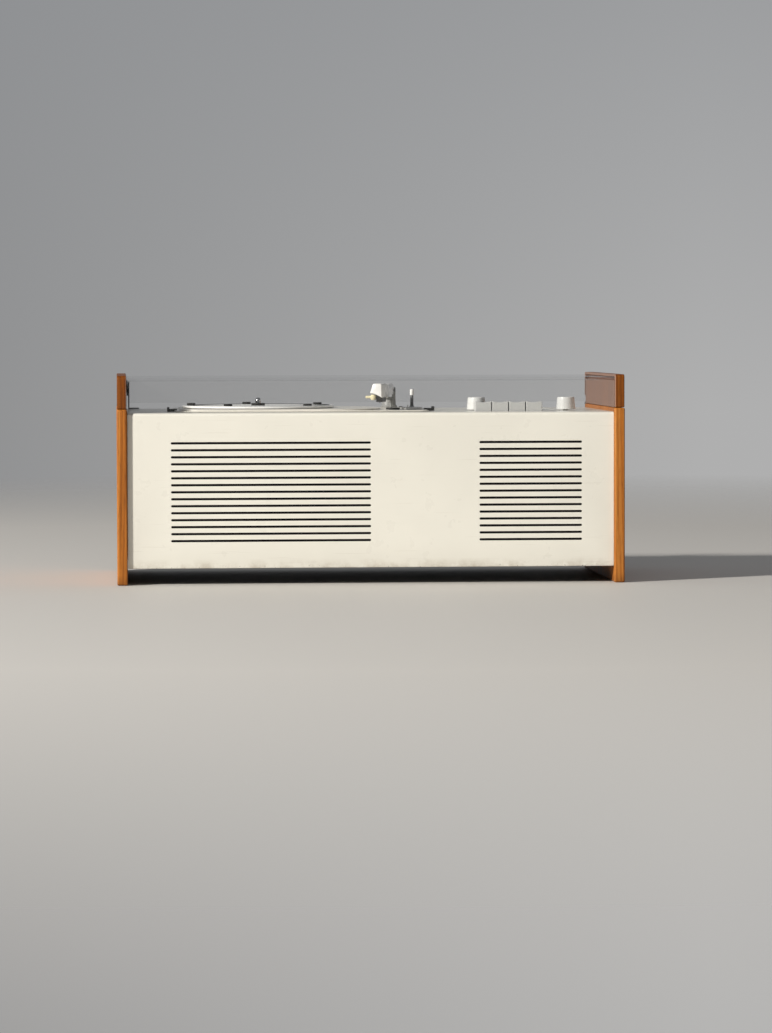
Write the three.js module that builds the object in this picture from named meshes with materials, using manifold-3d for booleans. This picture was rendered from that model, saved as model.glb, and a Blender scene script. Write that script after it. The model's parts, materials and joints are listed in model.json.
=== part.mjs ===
// Table-top radio and record player: a white sheet-metal body between two wooden side panels,
// with a slotted front, a deck that carries the record player and the radio's controls,
// and a hinged clear lid with wooden ends.
// Units are millimetres. +X is right, the front faces -Y, +Z is up.
// The origin is the middle of the footprint, on the surface that the side panels stand on.

import * as THREE from 'three';
import { mergeVertices } from 'three/addons/utils/BufferGeometryUtils.js';
import Module from 'manifold-3d';

const wasm = await Module();
wasm.setup();

// ---- driving dimensions ----

const WIDTH = 584;
const DEPTH = 294;
const HEIGHT = 240;
const GAP = 0.3;
const ROUND = 44; // sides of the largest turned pieces

// side panels and sheet-metal body
const PANEL_THICK = 12;
const PANEL_TOP = 201.5;
const INNER = WIDTH / 2 - PANEL_THICK;
const SHEET = 1.5;
const FRONT = -142;
const REAR = 140;
const DECK = 197;
const BODY_LOW = 19;
const BEND = 3.5;

// slots of the front
const SLOT_ROWS = 15;
const SLOT_PITCH = 8;
const SLOT_HIGH = 2.65;
const SLOT_TOP = 162.5;
const SLOT_GROUPS = [[-230.1, -0.8], [124.2, 242.8]];

// lid
const LID_LOW = PANEL_TOP + 0.4;
const LID_END_THICK = 11;
const LID_SHEET = 3.5;
const LID_TOP = 236.9;
const LID_FRONT = -143.5;
const LID_REAR = 141;
const LID_GROOVE = 3.5;
const HINGE_Y = 143.6;
const HINGE_Z = 201.7;
const HINGE_R = 3.1;
const NOTCH_Y = 139.5;

// record player
const SPINDLE_X = -125;
const SPINDLE_Y = 0;
const PLATTER_R = 90;
const PLATTER_TOP = 203.5;
const PLATE_LOW = DECK + GAP;
const FLANGE_TOP = 198.5;
const PLATFORM_TOP = 200.2;
const WELL_R = 88;
const BOARD_TOP = 186;
const SKIRT_IN = 83;
const SKIRT_OUT = 85.5;
const SKIRT_LOW = 190;
const IDLER_R = 20;
const PULLEY_R = 2;
const IDLER_ANGLE = -35;
const PAD_COUNT = 5;
const PAD_RING = 82;
const PAD_FIRST = 170;

const SPEED_X = 54.3;
const SPEED_Y = -36;
const CLIP_Y = -52;

// tone arm
const PIVOT_X = 37;
const PIVOT_Y = 105;
const PIVOT_Z = 219;
const BEND_X = 19.6;
const BEND_Y = -53.5;
const NOSE_X = 8;
const NOSE_Y = -97;

// radio controls
const KEY_COUNT = 4;
const KEY_PITCH = 19.8;
const KEY_GAP = 1.1;
const KEY_LEFT = 124.3;
const KEY_FRONT = -86;
const KEY_BACK = -62;
const KEY_TOP = 208.4;
const KEY_AXIS_Y = -25;
const KEY_AXIS_Z = 186;
const KNOB_Y = -50;
const VOLUME_X = 129;
const TUNING_X = 234.5;
const KNOB_TOP = 212.8;
const DIAL = { x0: 139.3, x1: 224.7, y0: -16, y1: 102 };
const DIAL_MID_Y = 43;
const CAPACITOR_X = 200;
const CAPACITOR_Y = 62;
const CHASSIS_TOP = 60;

// loudspeaker
const SPEAKER_X = -115.5;
const SPEAKER_Z = 106.7;
const SPEAKER_STRETCH = 1.75;
const BAFFLE_FRONT = -139;
const BAFFLE_THICK = 7;

// ---- helpers ----

const rad = THREE.MathUtils.degToRad;
const V2 = (x, y) => new THREE.Vector2(x, y);

// a closed BufferGeometry as a manifold-3d solid, turned right side out
function solid(geometry) {
  const bare = geometry.clone();
  bare.deleteAttribute('normal');
  bare.deleteAttribute('uv');
  const merged = mergeVertices(bare, 1e-4);
  const p = merged.attributes.position.array;
  const index = merged.index.array;
  const faces = [];
  let volume = 0;
  for (let i = 0; i < index.length; i += 3) {
    const [a, b, c] = [index[i], index[i + 1], index[i + 2]];
    if (a === b || b === c || c === a) continue;
    faces.push([a, b, c]);
    const va = new THREE.Vector3().fromArray(p, 3 * a);
    const vb = new THREE.Vector3().fromArray(p, 3 * b);
    const vc = new THREE.Vector3().fromArray(p, 3 * c);
    volume += va.dot(vb.cross(vc));
  }
  const turned = volume < 0 ? faces.map(([a, b, c]) => [a, c, b]) : faces;
  return new wasm.Manifold(new wasm.Mesh({
    numProp: 3,
    vertProperties: new Float32Array(p),
    triVerts: new Uint32Array(turned.flat()),
  }));
}

function geometryOf(manifold) {
  const mesh = manifold.getMesh();
  const geometry = new THREE.BufferGeometry();
  geometry.setAttribute('position', new THREE.BufferAttribute(new Float32Array(mesh.vertProperties), 3));
  geometry.setIndex(new THREE.BufferAttribute(new Uint32Array(mesh.triVerts), 1));
  geometry.computeVertexNormals();
  return geometry;
}

const join = (first, ...rest) => rest.reduce((a, b) => a.add(b), first);
const cut = (first, ...rest) => rest.reduce((a, b) => a.subtract(b), first);

function box(x0, x1, y0, y1, z0, z1) {
  const g = new THREE.BoxGeometry(x1 - x0, y1 - y0, z1 - z0);
  g.translate((x0 + x1) / 2, (y0 + y1) / 2, (z0 + z1) / 2);
  return solid(g);
}

function roundRect(x0, x1, y0, y1, radii, steps = 5) {
  // radii: left-front, right-front, right-back, left-back
  const corners = [[x0, y0, 180], [x1, y0, 270], [x1, y1, 0], [x0, y1, 90]];
  const points = [];
  corners.forEach(([x, y, start], k) => {
    const r = radii[k];
    const cx = x + (x === x0 ? r : -r);
    const cy = y + (y === y0 ? r : -r);
    for (let i = 0; i <= steps; i++) {
      const a = rad(start + (90 * i) / steps);
      points.push(V2(cx + r * Math.cos(a), cy + r * Math.sin(a)));
    }
  });
  return points;
}

function extrude(points, length, options = {}) {
  const shape = new THREE.Shape(points);
  return new THREE.ExtrudeGeometry(shape, { depth: length, bevelEnabled: false, steps: 1, ...options });
}

// outline in (x, y), solid from z0 to z1
function prismZ(points, z0, z1) {
  const g = extrude(points, z1 - z0);
  g.translate(0, 0, z0);
  return solid(g);
}

// outline in (y, z), solid from x0 to x1; edge rounds every edge along the outline
function prismX(points, x0, x1, edge = 0) {
  const bevel = edge
    ? { bevelEnabled: true, bevelSize: edge, bevelOffset: -edge, bevelThickness: edge, bevelSegments: 2 }
    : {};
  const g = extrude(points, x1 - x0 - 2 * edge, bevel);
  g.translate(0, 0, x0 + edge);
  g.applyMatrix4(new THREE.Matrix4().makeBasis(
    new THREE.Vector3(0, 1, 0),
    new THREE.Vector3(0, 0, 1),
    new THREE.Vector3(1, 0, 0),
  ));
  return solid(g);
}

// outline in (x, z), solid from y0 to y1
function prismY(points, y0, y1) {
  const g = extrude(points, y1 - y0);
  g.applyMatrix4(new THREE.Matrix4().makeBasis(
    new THREE.Vector3(1, 0, 0),
    new THREE.Vector3(0, 0, 1),
    new THREE.Vector3(0, -1, 0),
  ));
  g.translate(0, y1, 0);
  return solid(g);
}

// profile of [radius, height] turned about the upright line through (x, y)
function turned(profile, x, y, segments = 32) {
  const g = new THREE.LatheGeometry(profile.map(([r, z]) => V2(r, z)), segments);
  g.rotateX(Math.PI / 2);
  g.translate(x, y, 0);
  return solid(g);
}

const disc = (r, z0, z1, x, y, segments = 32) => turned([[0, z0], [r, z0], [r, z1], [0, z1]], x, y, segments);

const ring = (r0, r1, z0, z1, x, y, segments = 32) =>
  turned([[r0, z0], [r1, z0], [r1, z1], [r0, z1], [r0, z0]], x, y, segments);

// rod along X between x0 and x1
function rodX(r, x0, x1, y, z, segments = 20) {
  const g = new THREE.CylinderGeometry(r, r, x1 - x0, segments);
  g.rotateZ(Math.PI / 2);
  g.translate((x0 + x1) / 2, y, z);
  return solid(g);
}

// rod along Y between y0 and y1
function rodY(r, y0, y1, x, z, segments = 20) {
  const g = new THREE.CylinderGeometry(r, r, y1 - y0, segments);
  g.translate(x, (y0 + y1) / 2, z);
  return solid(g);
}

const model = new THREE.Group();
model.name = 'radio_phonograph';

function piece(name, manifold, color, roughness, metalness, parent = model, opacity = 1) {
  const material = new THREE.MeshStandardMaterial({ color, roughness, metalness });
  material.opacity = opacity;
  material.transparent = opacity < 1;
  const mesh = new THREE.Mesh(geometryOf(manifold), material);
  mesh.name = name;
  parent.add(mesh);
  return mesh;
}

const LACQUER = 0xe9e3d4;
const WOOD = 0xad6833;
const DARK_WOOD = 0x77441c;
const BLACK = 0x161616;
const STEEL = 0x9a9c9e;
const GREY = 0xc4c5c3;

// ---- casing ----

function sidePanel(name, side) {
  const outer = (side * WIDTH) / 2;
  const inner = side * INNER;
  const outline = roundRect(-DEPTH / 2, DEPTH / 2, 0, PANEL_TOP, [2.6, 2.6, 2.2, 2.2], 3);
  const board = prismX(outline, Math.min(outer, inner), Math.max(outer, inner), 1.5);
  const notch = box(-WIDTH, WIDTH, NOTCH_Y, DEPTH, PANEL_TOP - 10, HEIGHT);
  piece(name, cut(board, notch), WOOD, 0.55, 0);
}

// closed outline of a bent sheet: front wall, deck and rear flange, with round bends
function shellOutline() {
  const bottomLip = 14;
  const rearFlange = DECK - 18;
  const arc = (cy, cz, r, a0, a1) => Array.from({ length: 5 }, (_, i) => {
    const a = rad(a0 + ((a1 - a0) * i) / 4);
    return V2(cy + r * Math.cos(a), cz + r * Math.sin(a));
  });
  return [
    ...arc(FRONT + BEND, DECK - BEND, BEND, 180, 90),
    ...arc(REAR - BEND, DECK - BEND, BEND, 90, 0),
    V2(REAR, rearFlange),
    V2(REAR - SHEET, rearFlange),
    ...arc(REAR - BEND, DECK - BEND, BEND - SHEET, 0, 90),
    ...arc(FRONT + BEND, DECK - BEND, BEND - SHEET, 90, 180),
    V2(FRONT + SHEET, BODY_LOW + SHEET),
    V2(FRONT + bottomLip, BODY_LOW + SHEET),
    V2(FRONT + bottomLip, BODY_LOW),
    V2(FRONT, BODY_LOW),
  ];
}

function slot(x0, x1, z) {
  const r = SLOT_HIGH / 2;
  const points = [];
  for (const [cx, start] of [[x1 - r, -90], [x0 + r, 90]]) {
    for (let i = 0; i <= 3; i++) {
      const a = rad(start + 60 * i);
      points.push(V2(cx + r * Math.cos(a), z + r * Math.sin(a)));
    }
  }
  return prismY(points, FRONT - 2, FRONT + 4);
}

const DECK_CUTS = [
  prismZ(roundRect(-216, 58, -94, 106, [12, 12, 12, 12], 3), DECK - 5, DECK + 5),
  box(KEY_LEFT - 0.8, KEY_LEFT + KEY_COUNT * KEY_PITCH + 0.8, KEY_FRONT - 1.5, KEY_BACK + 2, DECK - 5, DECK + 5),
  prismZ(roundRect(DIAL.x0, DIAL.x1, DIAL.y0, DIAL.y1, [3, 3, 3, 3], 3), DECK - 5, DECK + 5),
  disc(5, DECK - 5, DECK + 5, VOLUME_X, KNOB_Y, 20),
  disc(5, DECK - 5, DECK + 5, TUNING_X, KNOB_Y, 20),
];

function bodyShell() {
  let shell = prismX(shellOutline(), -INNER + GAP, INNER - GAP);
  for (const [x0, x1] of SLOT_GROUPS) {
    for (let row = 0; row < SLOT_ROWS; row++) {
      shell = shell.subtract(slot(x0, x1, SLOT_TOP - row * SLOT_PITCH));
    }
  }
  piece('body_shell', cut(shell, ...DECK_CUTS), LACQUER, 0.35, 0);
}

// sockets in open notches of the rear panel; their flanges reach down over the notches
const INLET = { x: 205, z: 60, wide: 34, high: 22 };
const AERIAL = { x: 95, z: 60, wide: 60, high: 20 };
const BOARD_LOW = 23.2;

function rearPanel() {
  const [y0, y1] = [135, 138];
  let board = box(-INNER + 0.6, INNER - 0.6, y0, y1, BOARD_LOW, 192);
  for (const cx of [-150, 165]) {
    for (let i = -4; i <= 4; i++) {
      board = board.subtract(box(cx + i * 16 - 2.5, cx + i * 16 + 2.5, y0 - 2, y1 + 2, 110, 165));
    }
  }
  for (const s of [INLET, AERIAL]) {
    board = board.subtract(box(s.x - s.wide / 2, s.x + s.wide / 2, y0 - 2, y1 + 2, 0, s.z + s.high / 2));
  }
  piece('rear_panel', board, 0x4a3a2c, 0.85, 0);
}

function bottomPlate() {
  const z0 = BODY_LOW + SHEET + GAP;
  let plate = box(-INNER + 0.6, INNER - 0.6, FRONT + SHEET + 0.5, REAR - 1.5, z0, z0 + 1.6);
  for (const cx of [-115, 170]) {
    for (let i = -3; i <= 3; i++) {
      plate = plate.subtract(box(cx + i * 14 - 2.5, cx + i * 14 + 2.5, -30, 40, z0 - 2, z0 + 4));
    }
  }
  piece('bottom_plate', plate, 0x3a3a3a, 0.6, 0.4);
}

function mainsInlet() {
  const { x, z, wide, high } = INLET;
  const [w, h] = [wide / 2 - GAP, high / 2 - GAP];
  const flange = box(x - w - 4, x + w + 4, 138.3, 140.3, BOARD_LOW + 0.3, z + h + 4);
  const cup = box(x - w, x + w, 121, 139, z - h, z + h);
  const hollow = box(x - w + 2.5, x + w - 2.5, 124, 145, z - h + 2.5, z + h - 2.5);
  const pins = [-9.5, 9.5].map((dx) => rodY(2, 123, 137, x + dx, z, 12));
  piece('mains_inlet', join(cut(join(flange, cup), hollow), ...pins), BLACK, 0.4, 0);
}

function aerialSocket() {
  const { x, z, wide, high } = AERIAL;
  const [w, h] = [wide / 2 - GAP, high / 2 - GAP];
  let block = join(
    box(x - w - 3, x + w + 3, 138.3, 139.8, BOARD_LOW + 0.3, z + h + 3),
    box(x - w, x + w, 126, 139, z - h, z + h),
  );
  for (const dx of [-21, -7, 7, 21]) block = block.subtract(rodY(2.05, 130, 145, x + dx, z, 12));
  piece('aerial_socket', block, 0x5b3a22, 0.5, 0);
}

sidePanel('left_side_panel', -1);
sidePanel('right_side_panel', 1);
bodyShell();
rearPanel();
bottomPlate();
mainsInlet();
aerialSocket();

// ---- loudspeaker, behind the left group of slots ----

function speakerParts() {
  const clothBack = FRONT + SHEET + GAP + 0.8;
  piece('grille_cloth', box(-240, 252, clothBack - 0.8, clothBack, 42, 172), 0x1b1a18, 0.95, 0);

  // shapes turned about an axis along Y, then stretched along X into an oval
  const oval = (profile, segments) => {
    const g = new THREE.LatheGeometry(profile.map(([r, y]) => V2(r, y)), segments);
    g.scale(SPEAKER_STRETCH, 1, 1);
    g.translate(SPEAKER_X, 0, SPEAKER_Z);
    return solid(g);
  };
  const back = BAFFLE_FRONT + BAFFLE_THICK;
  const board = box(SPEAKER_X - 120, SPEAKER_X + 120, BAFFLE_FRONT, back, 42, 172);
  const hole = oval([[0, BAFFLE_FRONT - 3], [50, BAFFLE_FRONT - 3], [50, back + 3], [0, back + 3]], 36);
  piece('speaker_baffle', cut(board, hole), 0x6b5238, 0.8, 0);

  const y = back + GAP;
  const basket = oval([
    [47, y], [57, y], [57, y + 1.5], [51, y + 1.5], [30, y + 30], [22, y + 34], [22, y + 38],
    [9, y + 38], [9, y + 36], [20, y + 36], [20, y + 33], [28, y + 29], [47, y + 2.5], [47, y],
  ], 24);
  const windows = [
    box(SPEAKER_X - 26, SPEAKER_X + 26, y + 6, y + 27, SPEAKER_Z - 80, SPEAKER_Z + 80),
    box(SPEAKER_X - 120, SPEAKER_X + 120, y + 6, y + 27, SPEAKER_Z - 13, SPEAKER_Z + 13),
  ];
  piece('speaker_frame', cut(basket, ...windows), 0x6f7172, 0.5, 0.7);

  const cone = oval([
    [46.5, y], [46.5, y + 1], [44, y + 2], [18, y + 26], [7.5, y + 28], [7.5, y + 34],
    [7, y + 34], [7, y + 27.2], [17.5, y + 25], [43.5, y + 1], [46, y], [46.5, y],
  ], 24);
  piece('speaker_cone', cone, 0x2a2622, 0.95, 0);

  const g = new THREE.LatheGeometry([
    V2(0, y + 39), V2(34, y + 39), V2(34, y + 58), V2(31, y + 61), V2(0, y + 61),
  ], 24);
  g.translate(SPEAKER_X, 0, SPEAKER_Z);
  piece('speaker_magnet', solid(g), 0x77797b, 0.45, 0.8);
}

speakerParts();

// ---- lid ----

// closed outline in (y, z) of the bent clear sheet: front, top and back; grow widens it on every side
function lidOutline(grow) {
  const r = 6 + grow;
  const arc = (cy, cz, radius, a0, a1) => Array.from({ length: 5 }, (_, i) => {
    const a = rad(a0 + ((a1 - a0) * i) / 4);
    return V2(cy + radius * Math.cos(a), cz + radius * Math.sin(a));
  });
  const f = LID_FRONT - grow;
  const b = LID_REAR + grow;
  const t = LID_TOP + grow;
  const inner = r - LID_SHEET - 2 * grow;
  return [
    V2(f, DECK + 1.2 - grow),
    ...arc(f + r, t - r, r, 180, 90),
    ...arc(b - r, t - r, r, 90, 0),
    V2(b, HINGE_Z + 2.4 - grow),
    V2(b - LID_SHEET - 2 * grow, HINGE_Z + 2.4 - grow),
    ...arc(b - r, t - r, inner, 0, 90),
    ...arc(f + r, t - r, inner, 90, 180),
    V2(f + LID_SHEET + 2 * grow, DECK + 1.2 - grow),
  ];
}

function lidEnd(name, side) {
  const outer = side * (WIDTH / 2 - 0.5);
  const inner = outer - side * LID_END_THICK;
  const [x0, x1] = [Math.min(outer, inner), Math.max(outer, inner)];
  const outline = roundRect(-DEPTH / 2 + 0.5, DEPTH / 2 - 0.5, LID_LOW, HEIGHT, [1.4, 1.4, 4, 4], 4);
  const board = prismX(outline, x0, x1, 0.8);
  const grooveEnd = side * (INNER + 0.5 + LID_GROOVE + GAP);
  const groove = prismX(lidOutline(GAP), Math.min(0, grooveEnd), Math.max(0, grooveEnd));
  const notch = box(x0 - 1, x1 + 1, NOTCH_Y, DEPTH, 0, LID_LOW + 10);
  piece(name, cut(board, groove, notch), DARK_WOOD, 0.5, 0);
}

function hinge(prefix, side) {
  const mid = side * 286;
  const half = 4.8;
  const [x0, x1] = [mid - half, mid + half];
  const third = 1.7;
  const leafBack = NOTCH_Y + GAP;
  const leafFront = leafBack + 1.5;
  const bore = rodX(1.7, x0 - 1, x1 + 1, HINGE_Y, HINGE_Z, 12);
  let lower = box(x0, x1, leafBack, leafFront, PANEL_TOP - 9.6, HINGE_Z - 2.9);
  for (const [a, b] of [[x0, mid - third - GAP], [mid + third + GAP, x1]]) {
    const knuckle = join(
      rodX(HINGE_R, a, b, HINGE_Y, HINGE_Z, 16),
      box(a, b, leafBack, HINGE_Y, HINGE_Z - HINGE_R, HINGE_Z - 1.5),
    );
    lower = lower.add(knuckle);
  }
  const pin = rodX(1.4, x0 - 0.9, x1 + 0.9, HINGE_Y, HINGE_Z, 12);
  piece(`${prefix}_hinge_lower`, lower.add(pin), STEEL, 0.35, 0.9);
  const upper = cut(
    join(
      box(x0, x1, leafBack, leafFront, HINGE_Z + 2.9, LID_LOW + 9.6),
      rodX(HINGE_R, mid - third, mid + third, HINGE_Y, HINGE_Z, 16),
      box(mid - third, mid + third, leafBack, HINGE_Y, HINGE_Z + 1.5, HINGE_Z + 3.2),
    ),
    bore,
  );
  piece(`${prefix}_hinge_upper`, upper, STEEL, 0.35, 0.9);
}

const STAY_PIVOT = V2(-30, 221.5);
const STAY_PIN = V2(112.5, 226.25);

function lidStay() {
  const [x0, x1] = [-INNER + 0.1, -INNER + 1.6];
  const along = STAY_PIN.clone().sub(STAY_PIVOT);
  const angle = along.angle();
  const reach = along.length();
  const strip = prismX(roundRect(-6, reach + 10, -6, 6, [6, 6, 6, 6], 4), x0, x1);
  const slotHole = prismX(roundRect(reach - 10.2, reach + 6.2, -2.9, 2.9, [2.9, 2.9, 2.9, 2.9], 4), x0 - 1, x1 + 1);
  const rivet = rodX(3, x1 - 0.5, x1 + 1.2, 0, 0, 16);
  const arm = piece('lid_stay_arm', join(cut(strip, slotHole), rivet), BLACK, 0.45, 0.3);
  arm.rotation.x = angle;
  arm.position.set(0, STAY_PIVOT.x, STAY_PIVOT.y);

  const plate = [x1 + 0.5, x1 + 2];
  const bracket = join(
    prismX(roundRect(STAY_PIN.x - 6, STAY_PIN.x + 6, PLATE_LOW, STAY_PIN.y + 4, [0.5, 0.5, 4, 4], 3), ...plate),
    box(plate[0], plate[0] + 13, STAY_PIN.x - 7, STAY_PIN.x + 7, PLATE_LOW, PLATE_LOW + 1.5),
    rodX(1.5, -INNER - 0.2, plate[1], STAY_PIN.x, STAY_PIN.y, 14),
  );
  piece('lid_stay_bracket', bracket, GREY, 0.5, 0);
}

// the clear sheet sits in grooves of the wooden ends; its lower corners are cut back to pass between
// the side panels in front and the hinges at the back
function lidCover() {
  const half = INNER + 0.5 + LID_GROOVE;
  const between = INNER - 0.5;
  const corners = [-1, 1].flatMap((side) => {
    const [x0, x1] = [side * between, side * WIDTH].sort((a, b) => a - b);
    return [
      box(x0, x1, -DEPTH, 0, 0, LID_LOW + 0.4),
      box(x0, x1, 0, DEPTH, 0, LID_LOW + 10.6),
    ];
  });
  piece('lid_cover', cut(prismX(lidOutline(0), -half, half), ...corners), 0xe8efee, 0.08, 0, model, 0.25);
}

lidCover();
lidEnd('lid_left_end', -1);
lidEnd('lid_right_end', 1);
hinge('left', -1);
hinge('right', 1);
lidStay();

// ---- record player ----

const idlerAngle = rad(IDLER_ANGLE);
const idlerFromSpindle = SKIRT_IN - IDLER_R - GAP;
const IDLER_X = SPINDLE_X + idlerFromSpindle * Math.cos(idlerAngle);
const IDLER_Y = SPINDLE_Y + idlerFromSpindle * Math.sin(idlerAngle);
const pulleyAngle = idlerAngle + rad(125);
const PULLEY_X = IDLER_X + (IDLER_R + PULLEY_R + GAP) * Math.cos(pulleyAngle);
const PULLEY_Y = IDLER_Y + (IDLER_R + PULLEY_R + GAP) * Math.sin(pulleyAngle);

function playerPlate() {
  const flange = prismZ(roundRect(-224, 70, -102, 124, [12, 12, 12, 12], 5), PLATE_LOW, FLANGE_TOP);
  const platform = prismZ(roundRect(-218, 18, -98, 98, [30, 78, 78, 30], 7), PLATE_LOW + 0.2, PLATFORM_TOP);
  const opening = disc(WELL_R, PLATE_LOW - 2, PLATFORM_TOP + 2, SPINDLE_X, SPINDLE_Y, ROUND);
  const stemHole = disc(3.2, PLATE_LOW - 1, FLANGE_TOP + 1, SPEED_X, SPEED_Y, 16);
  piece('player_plate', cut(join(flange, platform), opening, stemHole), LACQUER, 0.35, 0);
}

// the board under the platter, with the spindle's bearing, the idler's axle and four pillars up to the plate
function motorBoard() {
  const board = prismZ(roundRect(-213, -37, -82, 82, [20, 20, 20, 20], 3), BOARD_TOP - 1.5, BOARD_TOP);
  const boss = disc(7, 168, BOARD_TOP + 2, SPINDLE_X, SPINDLE_Y, 20);
  const bearing = disc(3.6, 160, BOARD_TOP + 4, SPINDLE_X, SPINDLE_Y, 16);
  const pulleyHole = disc(7, BOARD_TOP - 3, BOARD_TOP + 1, PULLEY_X, PULLEY_Y, 16);
  const axle = disc(2, BOARD_TOP - 0.5, BOARD_TOP + 4, IDLER_X, IDLER_Y, 12);
  const pillars = [[-205, -74], [-205, 74], [-45, -74], [-45, 74]].map(
    ([x, y]) => disc(3.5, BOARD_TOP - 0.5, DECK, x, y, 12),
  );
  piece('motor_board', join(cut(join(board, boss), bearing, pulleyHole), axle, ...pillars), STEEL, 0.4, 0.8);
}

function platter() {
  const plate = turned([
    [3.6, 188.6], [12, 188.6], [12, 199.6], [SKIRT_IN, 200.9], [SKIRT_IN, SKIRT_LOW], [SKIRT_OUT, SKIRT_LOW],
    [SKIRT_OUT, 200.9], [PLATTER_R, 200.9], [PLATTER_R, PLATTER_TOP - 0.8],
    [PLATTER_R - 0.8, PLATTER_TOP], [PLATTER_R - 4, PLATTER_TOP], [PLATTER_R - 5, PLATTER_TOP - 0.6],
    [14, PLATTER_TOP - 0.6], [12, PLATTER_TOP - 1.2], [3.6, PLATTER_TOP - 1.2], [3.6, 188.6],
  ], SPINDLE_X, SPINDLE_Y, ROUND);
  piece('platter', plate, 0xf4f3f0, 0.3, 0);

  const low = PLATTER_TOP - 0.6 + GAP;
  let pads = ring(PAD_RING - 2.5, PAD_RING + 2.5, low, low + 0.5, SPINDLE_X, SPINDLE_Y, 40);
  for (let i = 0; i < PAD_COUNT; i++) {
    const a = rad(PAD_FIRST + (360 * i) / PAD_COUNT);
    const [x, y] = [SPINDLE_X + (PAD_RING - 2) * Math.cos(a), SPINDLE_Y + (PAD_RING - 2) * Math.sin(a)];
    pads = pads.add(turned([[0, low], [5, low], [5, 205], [4.4, 205.6], [0, 205.6]], x, y, 12));
  }
  piece('platter_pads', pads, BLACK, 0.8, 0);

  const puck = turned([
    [3.6, PLATTER_TOP - 0.9], [8, PLATTER_TOP - 0.9], [8, 204.8], [7, 205.4], [3.6, 205.4], [3.6, PLATTER_TOP - 0.9],
  ], SPINDLE_X, SPINDLE_Y, 24);
  piece('centre_puck', puck, BLACK, 0.75, 0);

  const shaft = turned([
    [0, 160], [3.3, 160], [3.3, 209.5], [2.4, 211.6], [1.2, 212.3], [0, 212.5],
  ], SPINDLE_X, SPINDLE_Y, 16);
  piece('spindle', shaft, 0xb9bbbd, 0.2, 1);
}

function drive() {
  const wheel = turned([
    [2.3, 191], [6, 191], [6, 192.2], [IDLER_R - 2, 192.6], [IDLER_R, 192.6], [IDLER_R, 195.4],
    [IDLER_R - 2, 195.4], [6, 195.8], [6, 196.6], [2.3, 196.6], [2.3, 191],
  ], IDLER_X, IDLER_Y, 28);
  piece('idler_wheel', wheel, 0x2b2b2b, 0.85, 0);

  const steps = turned([
    [0, 172], [2.4, 172], [2.4, 187], [4.7, 187], [4.7, 189.4], [2.7, 189.6], [2.7, 191.6],
    [PULLEY_R, 191.8], [PULLEY_R, 196], [1.2, 196.2], [1.2, 198], [0, 198],
  ], PULLEY_X, PULLEY_Y, 14);
  piece('motor_pulley', steps, 0xc2a25a, 0.3, 1);

  const can = turned([
    [2.8, 171.6], [9, 171.6], [9, 168], [27, 168], [29, 166], [29, 128], [27, 126], [0, 126], [0, 160], [2.8, 160],
    [2.8, 171.6],
  ], PULLEY_X, PULLEY_Y, 24);
  const posts = [30, 150, 270].map((deg) => {
    const a = rad(deg);
    return disc(2.5, 160, BOARD_TOP - 1.8, PULLEY_X + 28 * Math.cos(a), PULLEY_Y + 28 * Math.sin(a), 10);
  });
  piece('motor', join(can, ...posts), 0x8d8f90, 0.45, 0.8);
}

function speedSelector() {
  const [x, y] = [SPEED_X, SPEED_Y];
  const low = FLANGE_TOP + GAP;
  const dial = join(
    turned([[0, low], [12.2, low], [12.2, 200.6], [11.6, 201.2], [0, 201.2]], x, y, 28),
    disc(2.6, 190, low + 1, x, y, 16),
    disc(0.8, 201, 203.6, x - 5.5, y - 8.5, 10),
  );
  piece('speed_dial', dial, 0xf0efec, 0.35, 0);
  const stem = turned([
    [0, 201.5], [3.2, 201.5], [2, 203], [1.7, 214.8], [2.3, 215.2], [2.3, 221.3], [1.6, 222.2], [0, 222.2],
  ], x, y, 14);
  piece('speed_stem', stem, 0x77787a, 0.35, 0.6);
}

function playerClip(name, side) {
  const edge = side < 0 ? -224 : 70;
  const out = edge + side * 9;
  const over = edge - side * 2.5;
  const low = FLANGE_TOP + GAP;
  const upright = [out - side * 2.6, out].sort((a, b) => a - b);
  const foot = [over, out].sort((a, b) => a - b);
  const outer = [edge + side * 0.5, out].sort((a, b) => a - b);
  const clip = join(
    box(...foot, CLIP_Y - 7, CLIP_Y + 7, low, low + 1.4),
    box(...upright, CLIP_Y - 7, CLIP_Y + 7, PLATE_LOW, 202.2),
    box(...outer, CLIP_Y - 7, CLIP_Y + 7, PLATE_LOW, low + 0.5),
  );
  piece(name, clip, BLACK, 0.6, 0.2);
}

playerPlate();
motorBoard();
platter();
drive();
speedSelector();
playerClip('left_player_clip', -1);
playerClip('right_player_clip', 1);

// ---- tone arm ----

function armRest() {
  const low = FLANGE_TOP + GAP;
  const [x0, x1] = [22.7, 39.1];
  const [y0, y1] = [-60, -46];
  piece('arm_rest_base', prismZ(roundRect(x0, x1, y0, y1, [7, 7, 7, 7], 5), low, 200.9), BLACK, 0.8, 0);
  const fork = join(
    disc(1.4, 201.2, 210.5, 28.5, -52, 14),
    box(12, 32, -57, -47, 209.8, 212.1),
    box(30, 32, -57, -47, 209.8, 216.5),
  );
  piece('arm_rest_fork', fork, 0x8a8b8a, 0.5, 0.2);
}

// the arm's own frame: the yoke's upright axis at its origin, the beam along local -Y
const beamAngle = Math.atan2(BEND_X - PIVOT_X, PIVOT_Y - BEND_Y);
const beamLength = Math.hypot(BEND_X - PIVOT_X, PIVOT_Y - BEND_Y);
const headAngle = Math.atan2(NOSE_X - BEND_X, BEND_Y - NOSE_Y) - beamAngle;
const headLength = Math.hypot(NOSE_X - BEND_X, BEND_Y - NOSE_Y);
const arm = new THREE.Group();
arm.position.set(PIVOT_X, PIVOT_Y, 0);
arm.rotation.z = beamAngle;
model.add(arm);

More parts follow.
